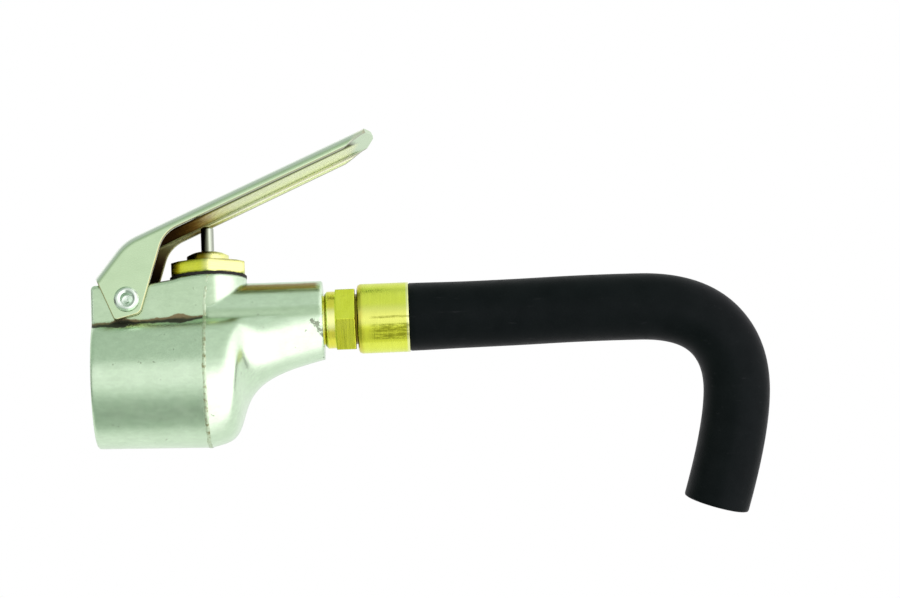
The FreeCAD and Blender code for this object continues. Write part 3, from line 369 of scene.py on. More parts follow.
def nickel_sheet():
    """Satin nickel on stamped sheet. Its cut edges are pale brass, and the channel underneath is
    painted with shade, from brown at the bend to olive yellow at the tip."""
    m = Nodes("nickel_sheet")
    x, y, z = m.split(m.place(), 1.0 / MM)
    face_x, face_y, face_z = m.facing()
    run, rise = math.cos(HANDLE_SLOPE), math.sin(HANDLE_SLOPE)
    forth = m.along(x, run, z, rise, -KNEE_X * run - KNEE_Z * rise)
    above = m.along(x, -rise, z, run, KNEE_X * rise - KNEE_Z * run)
    face_up = m.along(face_x, -rise, face_z, run)
    outward = m.math("MULTIPLY", face_y, m.math("SIGN", y))
    tapered = m.math("MAXIMUM", m.math("SUBTRACT", forth, TAPER_START), 0.0)
    side = m.math("MULTIPLY_ADD", tapered, TAPER, m.math("ABSOLUTE", y))

    lengthways = m.place(scale=(60, 1500, 1500), turned=(0.0, HANDLE_SLOPE, 0.0))
    drawn = m.noise(1.0, 3, 0.6, vector=lengthways)
    cloud = m.noise(150, 4, 0.55)
    colour = m.ramp(cloud, [(0.3, (0.54, 0.72, 0.45)), (0.7, (0.60, 0.79, 0.50))])

    # The channel, painted with shade: its underside, the inside of its flanges, and the inside of the
    # ears
    far_in = m.math("SUBTRACT", 0.0, outward)
    wall = m.step(far_in, 0.35, 0.6)
    ceiling = m.both(m.step(face_up, -0.3, -0.5), m.step(side, 9.5, 9.3), m.step(far_in, 0.6, 0.35),
                     m.step(m.math("MULTIPLY_ADD", m.math("ABSOLUTE", y), 0.25, forth), 61.6, 59.4))
    streak = m.math("MULTIPLY_ADD", m.math("SUBTRACT", drawn, 0.5), 7.0, forth)
    ceiling_tone = m.tones(streak, CHANNEL_SHADE_TONES, *CHANNEL_SPAN)
    # Painted shade across the underside, darkest on the near side
    across_shade = m.ramp(m.math("MULTIPLY_ADD", y, 0.05, 0.5), [
        (0.03, 0.14), (0.37, 0.20), (0.41, 0.42), (0.46, 1.0),
        (0.80, 0.92), (0.88, 0.80), (0.97, 0.80)])
    ceiling_tone = m.mix(1.0, ceiling_tone, across_shade, "MULTIPLY")
    down = m.math("ADD", forth, above)
    wall_tone = m.tones(down, WALL_SHADE_TONES, *WALL_SPAN)
    narrowed = m.math("MULTIPLY", m.step(down, 8.5, 12.0), 0.10)
    # Painted highlight and painted shadow along the flanges' edges
    rim = m.both(m.rims(0.8 * MM, 0.985, 0.93, narrowed), m.step(above, -1.6, -2.2))
    wall_tone = m.mix(rim, wall_tone, m.tones(down, RIM_LIGHT_TONES, *WALL_SPAN))
    # Painted shade where the flanges bend into the underside
    bend_shade = m.ramp(far_in, [(0.5, 0.6), (0.92, 1.0)])
    wall_tone = m.mix(1.0, wall_tone, bend_shade, "MULTIPLY")
    colour = m.mix(ceiling, colour, ceiling_tone)
    colour = m.mix(wall, colour, wall_tone)

    # Painted highlight on the faces that look up, over the bend and the top of the web
    top_highlight = m.step(face_up, 0.2, 0.6)
    colour = m.mix(m.math("MULTIPLY", top_highlight, 0.8), colour, (0.94, 1.0, 0.92))

    # Painted highlight where the flanges run out at the tip
    tip_highlight = m.both(m.step(m.math("MULTIPLY_ADD", above, -1.5, forth), 60.6, 61.6),
                    m.step(outward, 0.3, 0.7))
    colour = m.mix(m.math("MULTIPLY", tip_highlight, 0.9), colour, (0.96, 1.0, 0.80))

    # The cut edges
    edge = m.both(m.step(side, 9.1, 9.4), m.step(m.math("ABSOLUTE", face_y), 0.995, 0.92),
                  m.step(face_up, 0.3, 0.1))
    edge_tone = m.ramp(m.step(forth, 6.0, 14.0), [(0.0, (0.52, 0.52, 0.27)), (1.0, (0.34, 0.38, 0.23))])
    colour = m.mix(m.math("MULTIPLY", edge, 0.95), colour, edge_tone)

    gloss = m.ramp(drawn, [(0.3, 0.25), (0.7, 0.29)])
    dull = m.both(wall, m.step(forth, 26.0, 14.0))
    gloss = m.either(gloss, m.math("MULTIPLY", dull, 0.62))
    normal = m.bump(drawn, 0.00002, 0.12, under=m.bump(m.noise(180, 2, 0.4), 0.0001, 0.12))
    # The underside is matte and not metal, so that its painted shade shows as it is; part of its far
    # half stays partly metal
    rubbed = m.both(m.step(forth, 18.0, 28.0), m.step(y, -1.4, 0.2))
    painted_shade_share = m.math("MULTIPLY", ceiling, m.math("MULTIPLY_ADD", rubbed, -0.45, 1.0))
    metal_share = m.math("SUBTRACT", 1.0, painted_shade_share)
    return m.finish(Base_Color=colour, Metallic=metal_share, Roughness=gloss, Normal=normal,
                    Specular_IOR_Level=m.math("MULTIPLY", metal_share, 0.5))


def steel(name, dark, light, low, high, stretch=(1200, 1200, 60)):
    """Turned or drawn metal between two colours and two roughnesses."""
    m = Nodes(name)
    turned = m.noise(1.0, 3, 0.6, vector=m.place(scale=stretch))
    colour = m.ramp(turned, [(0.3, dark), (0.7, light)])
    gloss = m.ramp(turned, [(0.3, low), (0.7, high)])
    return m.finish(Base_Color=colour, Metallic=1.0, Roughness=gloss,
                    Normal=m.bump(turned, 0.00002, 0.3))


def pin_steel():
    """Polished steel of the push pin, with a painted reflection of the dark inside of the lever: darker
    the more it faces left.
    """
    m = Nodes("pin_steel")
    turned = m.noise(1.0, 3, 0.6, vector=m.place(scale=(1200, 1200, 60)))
    face_x = m.facing()[0]
    shade = m.ramp(m.math("MULTIPLY_ADD", face_x, 0.5, 0.5), [
        (0.20, (0.006, 0.006, 0.008)), (0.34, (0.05, 0.055, 0.035)), (0.44, (0.11, 0.12, 0.08)),
        (0.58, (0.30, 0.34, 0.24)), (0.70, (0.56, 0.66, 0.50)), (0.86, (0.38, 0.43, 0.34))])
    gloss = m.ramp(turned, [(0.3, 0.2), (0.7, 0.3)])
    return m.finish(Base_Color=shade, Metallic=1.0, Roughness=gloss,
                    Normal=m.bump(turned, 0.00002, 0.3))


def brass(name, turned_about=None, stain_and_reflection=0.25, corner=0.3):
    """The parts of a material: bright machined brass, with fine tool marks round its axis, slight
    stains and broken corners."""
    m = Nodes(name)
    stretch = {"x": (2600, 90, 90), "z": (90, 90, 2600), None: (500, 500, 500)}[turned_about]
    tool = m.noise(1.0, 3, 0.6, vector=m.place(scale=stretch))
    cloud = m.noise(260, 4, 0.6)
    colour = m.ramp(cloud, list(zip((0.25, 0.5, 0.8), BRASS_TONES)))
    dark = m.ramp(m.noise(700, 3, 0.7), [(0.60, 0.0), (0.72, 1.0)])
    colour = m.mix(m.math("MULTIPLY", dark, stain_and_reflection), colour, (0.25, 0.20, 0.03))
    gloss = m.ramp(tool, [(0.3, 0.20), (0.7, 0.34)])
    uneven = m.bump(cloud, 0.00006, 0.2, under=m.softened(corner * MM))
    normal = m.bump(tool, 0.00003, 0.2, under=uneven)
    return m, colour, gloss, normal


def brass_bright(name, turned_about=None, stain_and_reflection=0.25):
    """The plain brass of the parts inside."""
    m, colour, gloss, normal = brass(name, turned_about, stain_and_reflection)
    return m.finish(Base_Color=colour, Metallic=1.0, Roughness=gloss, Normal=normal)


def brass_nut():
    """The gland nut, with painted light towards the outlet and painted shade at its end and on its cap,
    under the lever's bend.
    """
    m, colour, gloss, normal = brass("brass_nut", "z", 0.2, corner=1.4)
    x, _, z = m.split(m.place(), 1.0 / MM)
    face_x = m.facing()[0]
    # Painted light towards the outlet, and painted shade on the rest
    painted_light = m.step(x, 25.8, 28.2)
    colour = m.mix(painted_light, m.mix(1.0, colour, (0.84, 0.82, 0.75), "MULTIPLY"), BRASS_PALE)
    # Painted shade at the end under the lever's bend
    end_shade = m.step(m.math("MULTIPLY_ADD", m.noise(400, 2, 0.5), 0.5, x), 21.6, 20.7)
    tones = m.tones(x, [(18.4, (0.035, 0.028, 0.014)), (19.0, (0.34, 0.29, 0.01)),
                        (20.6, (0.46, 0.43, 0.012))], 17.0, 22.0)
    colour = m.mix(end_shade, colour, tones)
    # Painted shade on the cap, on its side under the lever
    cap_shade = m.both(m.step(z, NUT_TOP - 0.2, NUT_TOP + 0.1), m.step(face_x, 0.38, -0.20))
    colour = m.mix(m.math("MULTIPLY", cap_shade, 0.96), colour, (0.13, 0.095, 0.003))
    return m.finish(Base_Color=colour, Metallic=1.0, Roughness=gloss, Normal=normal)


def brass_stem():
    """The hose stem, with painted shade on its hexagon's lower flats, in its groove and along the
    collar's left edge, and a painted highlight across the collar.
    """
    m, colour, gloss, normal = brass("brass_stem", "x", 0.3)
    x, _, z = m.split(m.place(), 1.0 / MM)
    face_z = m.facing()[2]
    hexagon = m.step(x, HEX_X - 0.2, HEX_X + 0.05)
    # Painted shade on the hexagon's flats that face down
    lower_flats_shade = m.both(hexagon, m.step(face_z, 0.1, -0.1))
    collar = m.step(x, HEX_X - 0.1, HEX_X - 0.3)
    # Painted highlight across the middle of the collar
    painted_light = m.both(collar, m.step(z, OUTLET_Z - 4.0, OUTLET_Z - 2.6),
                 m.step(z, OUTLET_Z + 2.4, OUTLET_Z + 0.6))
    colour = m.mix(m.math("MULTIPLY", collar, 0.5), colour, (0.90, 0.78, 0.10))
    colour = m.mix(m.math("MULTIPLY", painted_light, 0.9), colour, (0.94, 0.98, 0.40))
    colour = m.mix(m.math("MULTIPLY", lower_flats_shade, 0.30), colour, (0.42, 0.45, 0.01))
    # Painted shade in the groove and a painted shadow along the collar's left edge
    groove = m.step(x, GROOVE_X - 0.1, GROOVE_X + 0.1)
    edge = m.line(m.math("SUBTRACT", x, HEX_X - COLLAR_LONG + 0.12), 0.1, 0.2)
    dark = m.either(groove, m.math("MULTIPLY", edge, 0.6))
    colour = m.mix(m.math("MULTIPLY", dark, 0.85), colour, (0.10, 0.045, 0.006))
    return m.finish(Base_Color=colour, Metallic=1.0, Roughness=gloss, Normal=normal)


def brass_ferrule():
    """The crimped ferrule: drawn tube, with a painted highlight round it, painted shade on its lower
    side, a painted highlight on its end's rim, and painted dark reflections in mottled bands along its
    front.
    """
    m, colour, gloss, normal = brass("brass_tube", "x", 0.15)
    x, y, z = m.split(m.place(), 1.0 / MM)
    rubbed = m.noise(1.0, 4, 0.75, vector=m.place(scale=(420, 1300, 1300)))
    wander = m.math("SUBTRACT", m.noise(500, 3, 0.6), 0.5)
    colour = m.mix(0.45, colour, (0.86, 0.97, 0.15))
    front = m.both(m.step(y, 0.0, -2.0), m.step(x, 65.0, 68.0))
    bands = m.either(*[m.line(m.math("SUBTRACT", z, OUTLET_Z + offset), half, 0.35)
                       for offset, half in ((-5.4, 0.45), (-3.6, 0.75), (-1.1, 0.10))])
    # Painted highlight in a band round the middle
    painted_light = m.both(m.step(z, OUTLET_Z - 3.4, OUTLET_Z - 2.2), m.step(z, OUTLET_Z + 2.6, OUTLET_Z + 0.6))
    colour = m.mix(m.math("MULTIPLY", painted_light, 0.55), colour, (0.74, 0.78, 0.24))
    # Painted shade on the lower side
    under = m.both(m.step(z, OUTLET_Z - 2.8, OUTLET_Z - 4.0), m.step(z, OUTLET_Z - 6.9, OUTLET_Z - 6.3))
    colour = m.mix(m.math("MULTIPLY", under, 0.6), colour, (0.66, 0.74, 0.03))
    heated = m.step(m.math("MULTIPLY_ADD", wander, 0.8, x), 64.6, 62.7)
    colour = m.mix(m.math("MULTIPLY", heated, 0.65), colour, (0.50, 0.36, 0.02))
    # Painted highlight on the rim at its end
    rim = m.step(x, FERRULE_END_X - 0.75, FERRULE_END_X - 0.35)
    colour = m.mix(m.math("MULTIPLY", rim, 0.7), colour, (0.95, 1.0, 0.55))
    # Painted dark reflections in bands on the front, broken up by noise
    dark_band_reflection = m.both(bands, front, m.ramp(rubbed, [(0.38, 0.0), (0.55, 1.0)]))
    colour = m.mix(m.math("MULTIPLY", dark_band_reflection, 0.7), colour, (0.20, 0.22, 0.004))
    return m.finish(Base_Color=colour, Metallic=1.0, Roughness=gloss, Normal=normal)


def rubber(name, dark, light, low, high, dust=0.0, shine=0.5):
    """Rubber between two colours and two roughnesses, with dusty streaks along it."""
    m = Nodes(name)
    cloud = m.noise(150, 4, 0.6)
    colour = m.ramp(cloud, [(0.3, dark), (0.75, light)])
    if dust:
        streaks = m.noise(1.0, 4, 0.7, vector=m.place(scale=(120, 900, 900)))
        mask = m.math("MULTIPLY", m.ramp(streaks, [(0.62, 0.0), (0.8, 1.0)]), dust)
        colour = m.mix(mask, colour, (0.16, 0.16, 0.17))
    gloss = m.ramp(m.noise(500, 3, 0.6), [(0.3, low), (0.7, high)])
    fine = m.bump(m.noise(2500, 3, 0.6), 0.00003, 0.5, under=m.bump(cloud, 0.0001, 0.2))
    return m.finish(Base_Color=colour, Roughness=gloss, Normal=fine, Specular_IOR_Level=shine)


def fibre():
    """Pressed black fibre board."""
    m = Nodes("fibre")
    strands = m.noise(1.0, 4, 0.7, vector=m.place(scale=(900, 900, 3500)))
    colour = m.ramp(strands, [(0.3, (0.004, 0.003, 0.002)), (0.8, (0.020, 0.015, 0.010))])
    return m.finish(Base_Color=colour, Roughness=0.72, Normal=m.bump(strands, 0.00005, 0.5))


MATERIALS = {
    "nickel_cast": nickel_cast(),
    "parting_flash": parting_flash(),
    "nickel_sheet": nickel_sheet(),
    "rivet_steel": steel("rivet_steel", (0.66, 0.78, 0.66), (0.80, 0.92, 0.80), 0.24, 0.34,
                         stretch=(900, 900, 900)),
    "steel": steel("steel", (0.42, 0.43, 0.44), (0.58, 0.59, 0.60), 0.18, 0.3),
    "pin_steel": pin_steel(),
    "brass": brass_bright("brass", "z"),
    "brass_nut": brass_nut(),
    "brass_stem": brass_stem(),
    "brass_tube": brass_ferrule(),
    "copper": steel("copper", (0.55, 0.27, 0.16), (0.68, 0.36, 0.22), 0.3, 0.4),
    "fibre": fibre(),
    "seal_rubber": rubber("seal_rubber", (0.010, 0.010, 0.010), (0.022, 0.022, 0.022), 0.45, 0.6),
    "hose_rubber": rubber("hose_rubber", (0.003, 0.0055, 0.0055), (0.006, 0.009, 0.009), 0.38, 0.48,
                          dust=0.10, shine=0.06),
}

# Nodes whose material isn't the plain one of their slot
SPECIAL = {"hose_stem": "brass_stem", "gland_nut": "brass_nut", "push_pin": "pin_steel"}


def paint(obj, name):
    """Gives a mesh one material."""
    obj.data.materials.clear()
    obj.data.materials.append(MATERIALS[name])


for entry in frame["record"]["subparts"]:
    node = entry["node"]
    material = MATERIALS[SPECIAL.get(node, entry["material_slot"])]
    piece = nodes[node]
    if piece.material_slots:
        for place in piece.material_slots:
            place.material = material
    else:
        piece.data.materials.append(material)


# Meshes of the scene's own pieces

def new_mesh(name, points, faces, body, material, smooth=True):
    """A piece with one material, which moves with a body."""
    mesh = bpy.data.meshes.new(name)
    mesh.from_pydata([tuple(point) for point in points], [], faces)
    mesh.validate()
    mesh.update()
    if smooth:
        for polygon in mesh.polygons:
            polygon.use_smooth = True
    piece = bpy.data.objects.new(name, mesh)
    bpy.context.scene.collection.objects.link(piece)
    paint(piece, material)
    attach(piece, body)
    return piece


def loft(rings, closed_ends=False, ring_closed=True):
    """Quads between rings of the same number of points."""
    count = len(rings[0])
    points = [point for ring in rings for point in ring]
    faces = []
    span = count if ring_closed else count - 1
    for row in range(len(rings) - 1):
        for step in range(span):
            a = row * count + step
            b = row * count + (step + 1) % count
            faces.append((a, b, b + count, a + count))
    if closed_ends:
        faces.append(tuple(reversed(range(count))))
        faces.append(tuple(range(len(points) - count, len(points))))
    return points, faces


# Hose: a tube along a smooth line. Its route is given by the distance along X from the hose's start
# and the height above the outlet's axis, in the plane of the bend.

HOSE_R = 7.94
HOSE_BORE_R = 4.9
HOSE_SQUEEZED_R = 7.8
HOSE_START_X = 75.3
HOSE_ROLL = math.radians(16.0)
HOSE_SIDES = 64
SWELL_HIGH, SWELL_LONG = 0.16, 9.0
HOSE_ROUTE = [
    (0.0, 0.0),
    (20.0, 0.0),
    (43.0, 0.5),
    (66.5, 0.1),
    (77.6, -11.2),
    (76.9, -30.5),
    (71.5, -47.9),
]


def route_line():
    """Points of the smooth line that the route gives."""
    curve = bpy.data.curves.new("hose_route", "CURVE")
    curve.dimensions = "3D"
    spline = curve.splines.new("NURBS")
    spline.points.add(len(HOSE_ROUTE) - 1)
    for point, (along, up) in zip(spline.points, HOSE_ROUTE):
        point.co = ((HOSE_START_X + along) * MM, -up * math.sin(HOSE_ROLL) * MM,
                    (OUTLET_Z + up * math.cos(HOSE_ROLL)) * MM, 1.0)
    spline.order_u = 3
    spline.use_endpoint_u = True
    spline.resolution_u = 24
    route = bpy.data.objects.new("hose_route", curve)
    mesh = bpy.data.meshes.new_from_object(route)
    line = [Vector(vertex.co) for vertex in mesh.vertices]
    bpy.data.objects.remove(route)
    return line


def tangents(line):
    """The line's direction at each of its points."""
    result = []
    for index in range(len(line)):
        before = line[max(index - 1, 0)]
        after = line[min(index + 1, len(line) - 1)]
        result.append((after - before).normalized())
    return result


def hose_ring(point, heading, side, radius, back=0.0):
    """A ring of the tube, a distance back from a point of its line."""
    up = heading.cross(side)
    ring = []
    for step in range(HOSE_SIDES):
        angle = 2 * math.pi * step / HOSE_SIDES
        offset = side * math.cos(angle) + up * math.sin(angle)
        ring.append(point + offset * radius * MM - heading * back * MM)
    return ring


def hose():
    """The whole hose: squeezed in the ferrule, out to its cut end and back along its bore."""
    line = route_line()
    along = tangents(line)
    side = Vector((0, 1, 0))
    travelled = 0.0
    outer, inner = [], []
    for index, (point, heading) in enumerate(zip(line, along)):
        if index:
            travelled += (point - line[index - 1]).length
        side = (side - heading * side.dot(heading)).normalized()
        # The hose swells a little where it comes out of the crimp
        swell = SWELL_HIGH * math.exp(-(travelled / MM / SWELL_LONG) ** 2)
        outer.append(hose_ring(point, heading, side, HOSE_R + swell))
        inner.append(hose_ring(point, heading, side, HOSE_BORE_R))
    # The open end is cut square, with its edges broken
    cut = [hose_ring(line[-1], along[-1], side, radius, back) for radius, back in (
        (HOSE_R, 0.5), (HOSE_R - 0.12, 0.15), (HOSE_R - 0.45, 0.0),
        (HOSE_BORE_R + 0.3, 0.0), (HOSE_BORE_R, 0.25))]
    # Inside the ferrule the hose is squeezed
    squeezed = []
    for radius, back in (
            (HOSE_SQUEEZED_R - 0.5, 2.0), (HOSE_SQUEEZED_R, 1.8), (HOSE_SQUEEZED_R, 0.32)):
        squeezed.append([line[0] + (point - line[0]).normalized() * radius * MM - along[0] * back * MM
                         for point in outer[0]])
    rings = squeezed + outer[:-1] + cut + list(reversed(inner[:-1]))
    points, faces = loft(rings)
    piece = new_mesh("hose_tube", points, faces, "valve", "hose_rubber")
    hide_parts("hose")


hose()


# Tank socket's thread: a ridge that stands inwards from the wall. Its profile is given by the place
# along X and the share of its height.

THREAD_PITCH = 1.27
THREAD_MAJOR_R, THREAD_MINOR_R = 12.69, 12.03
THREAD_START_X, THREAD_END_X = 0.9, 15.2
THREAD_PROFILE = [(-0.56, 0.0), (-0.10, 1.0), (0.10, 1.0), (0.56, 0.0)]
THREAD_STEPS = 72


def socket_thread():
    """The ridge, which fades over half a turn at both ends."""
    count = int((THREAD_END_X - THREAD_START_X) / THREAD_PITCH * THREAD_STEPS)
    half_turn = THREAD_STEPS * 0.5
    rings = []
    for step in range(count + 1):
        angle = 2 * math.pi * step / THREAD_STEPS
        x = THREAD_START_X + THREAD_PITCH * step / THREAD_STEPS
        fade = min(1.0, step / half_turn, (count - step) / half_turn)
        ring = []
        for shift, height in THREAD_PROFILE:
            radius = THREAD_MAJOR_R - (THREAD_MAJOR_R - THREAD_MINOR_R) * height * fade
            ring.append(Vector(((x + shift) * MM, radius * math.sin(angle) * MM,
                                radius * math.cos(angle) * MM)))
        rings.append(ring)
    points, faces = loft(rings, ring_closed=False)
    new_mesh("socket_thread", points, faces, "valve", "nickel_cast", smooth=False)


socket_thread()


# Valve spring: the stem presses it together

SPRING_WIRE_R = 0.4
SPRING_COIL_R = 3.5
SPRING_TURNS = 3.5
SPRING_STEPS, SPRING_SIDES = 126, 12


def valve_spring():
    """A coil in the solid's place."""
    low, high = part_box("valve_spring")
    wire, coil = SPRING_WIRE_R * MM, SPRING_COIL_R * MM
    foot = low[2] + wire
    rise = high[2] - low[2] - 2 * wire
    climb = rise / (2 * math.pi * SPRING_TURNS)
    turns = [2 * math.pi * side / SPRING_SIDES for side in range(SPRING_SIDES)]
    rings = []
    for step in range(SPRING_STEPS + 1):
        angle = 2 * math.pi * SPRING_TURNS * step / SPRING_STEPS
        out = Vector((math.cos(angle), math.sin(angle), 0))
        heading = Vector((-math.sin(angle) * coil, math.cos(angle) * coil, climb))
        up = out.cross(heading.normalized())
        middle = Vector((STACK_X * MM, 0, foot + rise * step / SPRING_STEPS)) + out * coil
        rings.append([middle + (out * math.cos(turn) + up * math.sin(turn)) * wire for turn in turns])
    points, faces = loft(rings, closed_ends=True)
    piece = new_mesh("valve_spring_coil", points, faces, "valve", "steel")
    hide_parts("valve_spring")
    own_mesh(piece)


valve_spring()


# Parting flash: a low torn bead round the casting where the halves of its die met. It leans towards
# the outlet on the boss. Its profile is given by shares of its width and height.

SEAM_R = 16.4
SEAM_PACE = 0.3
SEAM_TOP_Z = BOSS_TOP - 0.4
SEAM_LEAN, SEAM_LEAN_Z = 0.9, 17.0
SEAM_PROFILE = [(-0.5, -0.35), (-0.3, 0.5), (0.0, 1.0), (0.3, 0.5), (0.5, -0.35)]
FLASH_HEIGHTS = (0.02, 0.05, 0.09, 0.15)


def seam_path():
    """Points and outward directions round the seam, from one side of the saddle to the other."""
    heights = []
    rise = SADDLE_SIDE_LOW_Z
    while rise < SEAM_TOP_Z:
        heights.append(rise)
        rise += SEAM_PACE
    path = [((SADDLE_HALF, height), (1.0, 0.0)) for height in reversed(heights)]
    low_angle = math.acos(SADDLE_HALF / SEAM_R)
    angle = low_angle
    while angle > -math.pi - low_angle:
        outward = (math.cos(angle), math.sin(angle))
        path.append(((SEAM_R * outward[0], SEAM_R * outward[1]), outward))
        angle -= SEAM_PACE / SEAM_R
    return path + [((-SADDLE_HALF, height), (-1.0, 0.0)) for height in heights]


def seam_flash():
    """The bead, which wanders and is unevenly torn."""
    chance = random.Random(27)
    rings = []
    shift, tall, wide = 0.0, 0.15, 0.8
    for (y, z), (out_y, out_z) in seam_path():
        shift = 0.8 * shift + chance.uniform(-0.04, 0.04)
        tall = 0.5 * tall + 0.5 * chance.choice(FLASH_HEIGHTS)
        wide = 0.6 * wide + 0.4 * chance.uniform(0.7, 1.2)
        lean = SEAM_LEAN * max(0.0, (z - SEAM_LEAN_Z) / (BOSS_TOP - SEAM_LEAN_Z))
        ring = []
        for across_shade, height in SEAM_PROFILE:
            x = SEAM_X + lean + shift + across_shade * wide
            lift = height * tall * chance.uniform(0.8, 1.2)
            ring.append(Vector((x, y + out_y * lift, z + out_z * lift)) * MM)
        rings.append(ring)
    points, faces = loft(rings, ring_closed=False)
    new_mesh("seam_flash", points, faces, "valve", "parting_flash")


seam_flash()


# Camera: the photograph looks along +Y from slightly below. Its distance and the picture's width
# come from pixels, and the place it looks at is given along the level camera's right and up.

PIXEL = 0.238 * MM
CAMERA_PITCH = math.radians(9.7)
CAMERA_ROLL = math.radians(2.3)
CAMERA_AWAY = 3780 * PIXEL
PHOTO_WIDE = 900 * PIXEL
TARGET_RIGHT, TARGET_UP = 84.9, 16.7
SENSOR_WIDE = 36.0

ahead = Vector((0, math.cos(CAMERA_PITCH), math.sin(CAMERA_PITCH)))
level_up = Vector((0, -math.sin(CAMERA_PITCH), math.cos(CAMERA_PITCH)))
level_right = Vector((1, 0, 0))
right = level_right * math.cos(CAMERA_ROLL) - level_up * math.sin(CAMERA_ROLL)
up = level_right * math.sin(CAMERA_ROLL) + level_up * math.cos(CAMERA_ROLL)
target = level_right * TARGET_RIGHT * MM + level_up * TARGET_UP * MM

camera_data = bpy.data.cameras.new("camera")
camera_data.sensor_fit = "HORIZONTAL"
camera_data.sensor_width = SENSOR_WIDE
camera_data.lens = SENSOR_WIDE * CAMERA_AWAY / PHOTO_WIDE
camera_data.clip_start = 0.05
camera_data.clip_end = 20.0
camera = bpy.data.objects.new("camera", camera_data)
bpy.context.scene.collection.objects.link(camera)
camera.matrix_world = Matrix((
    (right.x, up.x, -ahead.x, 0),
    (right.y, up.y, -ahead.y, 0),
    (right.z, up.z, -ahead.z, 0),
    (0, 0, 0, 1),
))
camera.matrix_world.translation = target - ahead * CAMERA_AWAY
bpy.context.scene.camera = camera


# Floor: plain and pale, well below the object

FLOOR_HALF = 3.0
FLOOR_Z = -0.16


def plain_floor():
    """A sheet that belongs to the stage, not to the object."""
    mesh = bpy.data.meshes.new("floor")
    corners = [(-1, -1), (1, -1), (1, 1), (-1, 1)]
    points = [(x * FLOOR_HALF, y * FLOOR_HALF, FLOOR_Z) for x, y in corners]
    mesh.from_pydata(points, [], [(0, 1, 2, 3)])
    floor = bpy.data.objects.new("floor", mesh)
    bpy.context.scene.collection.objects.link(floor)
    m = Nodes("floor")
    shade = m.ramp(m.noise(3, 2, 0.5), [(0.3, 0.86), (0.7, 0.90)])
    floor.data.materials.append(m.finish(Base_Color=shade, Roughness=0.9))
    # The metal reflects the studio's own bands below it
    floor.visible_glossy = False


plain_floor()


# Studio: soft light from all round, in bands that run along the object's length. The bands are
# given as (degrees above the direction to the photographer, brightness), for the stretches of the
# studio from left to right: LEFT with dark screens in front, RIGHT with white ones, WHITE and FAR
# towards the hose. Each stretch gives way to the next between the two shares of X of its edge.
# Dimmer bands have the first tint and brighter ones the second.

STUDIO_STRENGTH = 2.5
START_LEVEL = 0.06
SHADE_TINT = (0.88, 1.0, 0.90)
BRIGHT_TINT = (1.06, 0.98, 1.06)
TINT_FROM, TINT_SPAN = 0.5, 0.7
STUDIO_START = (-0.99, -0.90)
STUDIO_EDGE = (-0.106, -0.045)
STUDIO_END = (-0.01, 0.07)
STUDIO_FAR_END = (0.25, 0.45)
STUDIO_LEFT = [
    (-180, 0.95),
    (-120, 0.95),
    (-106, 0.79),
    (-94, 0.52),
    (-62, 0.45),
    (-44, 0.53),
    (-28, 0.74),
    (-12, 0.95),
    (12, 1.00),
    (20, 0.92),
    (32, 0.52),
    (100, 0.53),
    (124, 0.95),
    (180, 0.95),
]
STUDIO_RIGHT = [
    (-180, 0.95),
    (-98, 0.95),
    (-86, 0.40),
    (-70, 0.22),
    (-46, 0.30),
    (-26, 0.80),
    (-6, 1.05),
    (10, 0.98),
    (28, 0.86),
    (80, 0.81),
    (88, 0.66),
    (98, 0.58),
    (112, 0.80),
    (180, 0.95),
]
STUDIO_WHITE = [
    (-180, 0.95),
    (-126, 0.95),
    (-104, 1.15),
    (-86, 1.60),
    (-10, 1.70),
    (3, 1.30),
    (15, 0.90),
    (28, 0.76),
    (80, 0.73),
    (88, 0.62),
    (98, 0.57),
    (112, 0.80),
    (180, 0.95),
]
STUDIO_FAR = [
    (-180, 0.95),
    (-114, 0.95),
    (-100, 1.20),
    (-84, 1.70),
    (-10, 1.80),
    (30, 1.60),
    (90, 1.20),
    (180, 1.00),
]


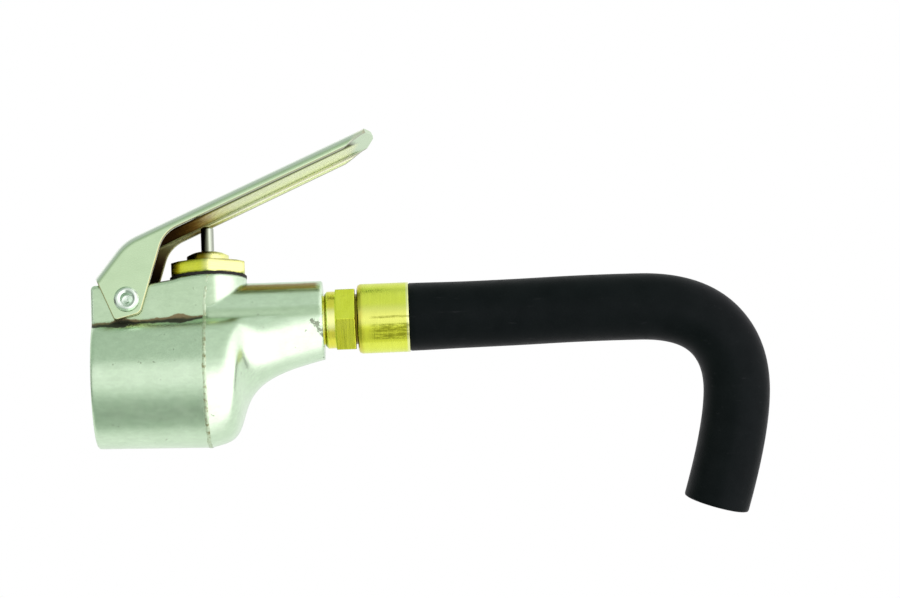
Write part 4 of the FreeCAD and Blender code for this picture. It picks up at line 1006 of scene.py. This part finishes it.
def studio_world():
    """White to the camera, and the bands of light and shade in reflections."""
    world = bpy.data.worlds.new("studio")
    bpy.context.scene.world = world
    world.use_nodes = True
    tree = world.node_tree
    background = tree.nodes["Background"]
    background.inputs["Strength"].default_value = STUDIO_STRENGTH

    def add(kind, **settings):
        node = tree.nodes.new("ShaderNode" + kind)
        for key, setting in settings.items():
            setattr(node, key, setting)
        return node

    def join(output, target):
        tree.links.new(output, target)

    def map_range(source, low, high, smooth=False):
        node = add("MapRange")
        if smooth:
            node.interpolation_type = "SMOOTHSTEP"
        node.inputs["From Min"].default_value = low
        node.inputs["From Max"].default_value = high
        join(source, node.inputs["Value"])
        return node.outputs["Result"]

    def bands(source, stops):
        node = add("ValToRGB")
        node.color_ramp.interpolation = "EASE"
        elements = node.color_ramp.elements
        while len(elements) < len(stops):
            elements.new(0.5)
        for element, (degrees, level) in zip(elements, stops):
            element.position = (degrees + 180.0) / 360.0
            share = min(max((level - TINT_FROM) / TINT_SPAN, 0.0), 1.0)
            element.color = (*(level / STUDIO_STRENGTH * (shade + share * (bright - shade))
                               for shade, bright in zip(SHADE_TINT, BRIGHT_TINT)), 1.0)
        join(source, node.inputs["Fac"])
        return node.outputs["Color"]

    def plain(level):
        return [level / STUDIO_STRENGTH] * 3

    def mix(share, first, second):
        node = add("Mix", data_type="RGBA")
        join(share, node.inputs[0])
        for index, source in ((6, first), (7, second)):
            if hasattr(source, "links"):
                join(source, node.inputs[index])
            else:
                node.inputs[index].default_value = (*source, 1.0)
        return node.outputs[2]

    def turn_into(edge, before, after):
        return mix(map_range(direction.outputs["X"], *edge, smooth=True), before, after)

    direction = add("SeparateXYZ")
    join(add("TexCoord").outputs["Generated"], direction.inputs[0])
    toward = add("Math", operation="MULTIPLY")
    toward.inputs[1].default_value = -1.0
    join(direction.outputs["Y"], toward.inputs[0])
    angle = add("Math", operation="ARCTAN2")
    join(direction.outputs["Z"], angle.inputs[0])
    join(toward.outputs["Value"], angle.inputs[1])
    turns = map_range(angle.outputs["Value"], -math.pi, math.pi)
    seen = turn_into(STUDIO_EDGE, bands(turns, STUDIO_LEFT), bands(turns, STUDIO_RIGHT))
    seen = turn_into(STUDIO_START, plain(START_LEVEL), seen)
    seen = turn_into(STUDIO_END, seen, bands(turns, STUDIO_WHITE))
    seen = turn_into(STUDIO_FAR_END, seen, bands(turns, STUDIO_FAR))
    seen = mix(add("LightPath").outputs["Is Camera Ray"], seen, plain(1.0))
    join(seen, background.inputs["Color"])


studio_world()
bpy.context.scene.view_settings.view_transform = "Standard"
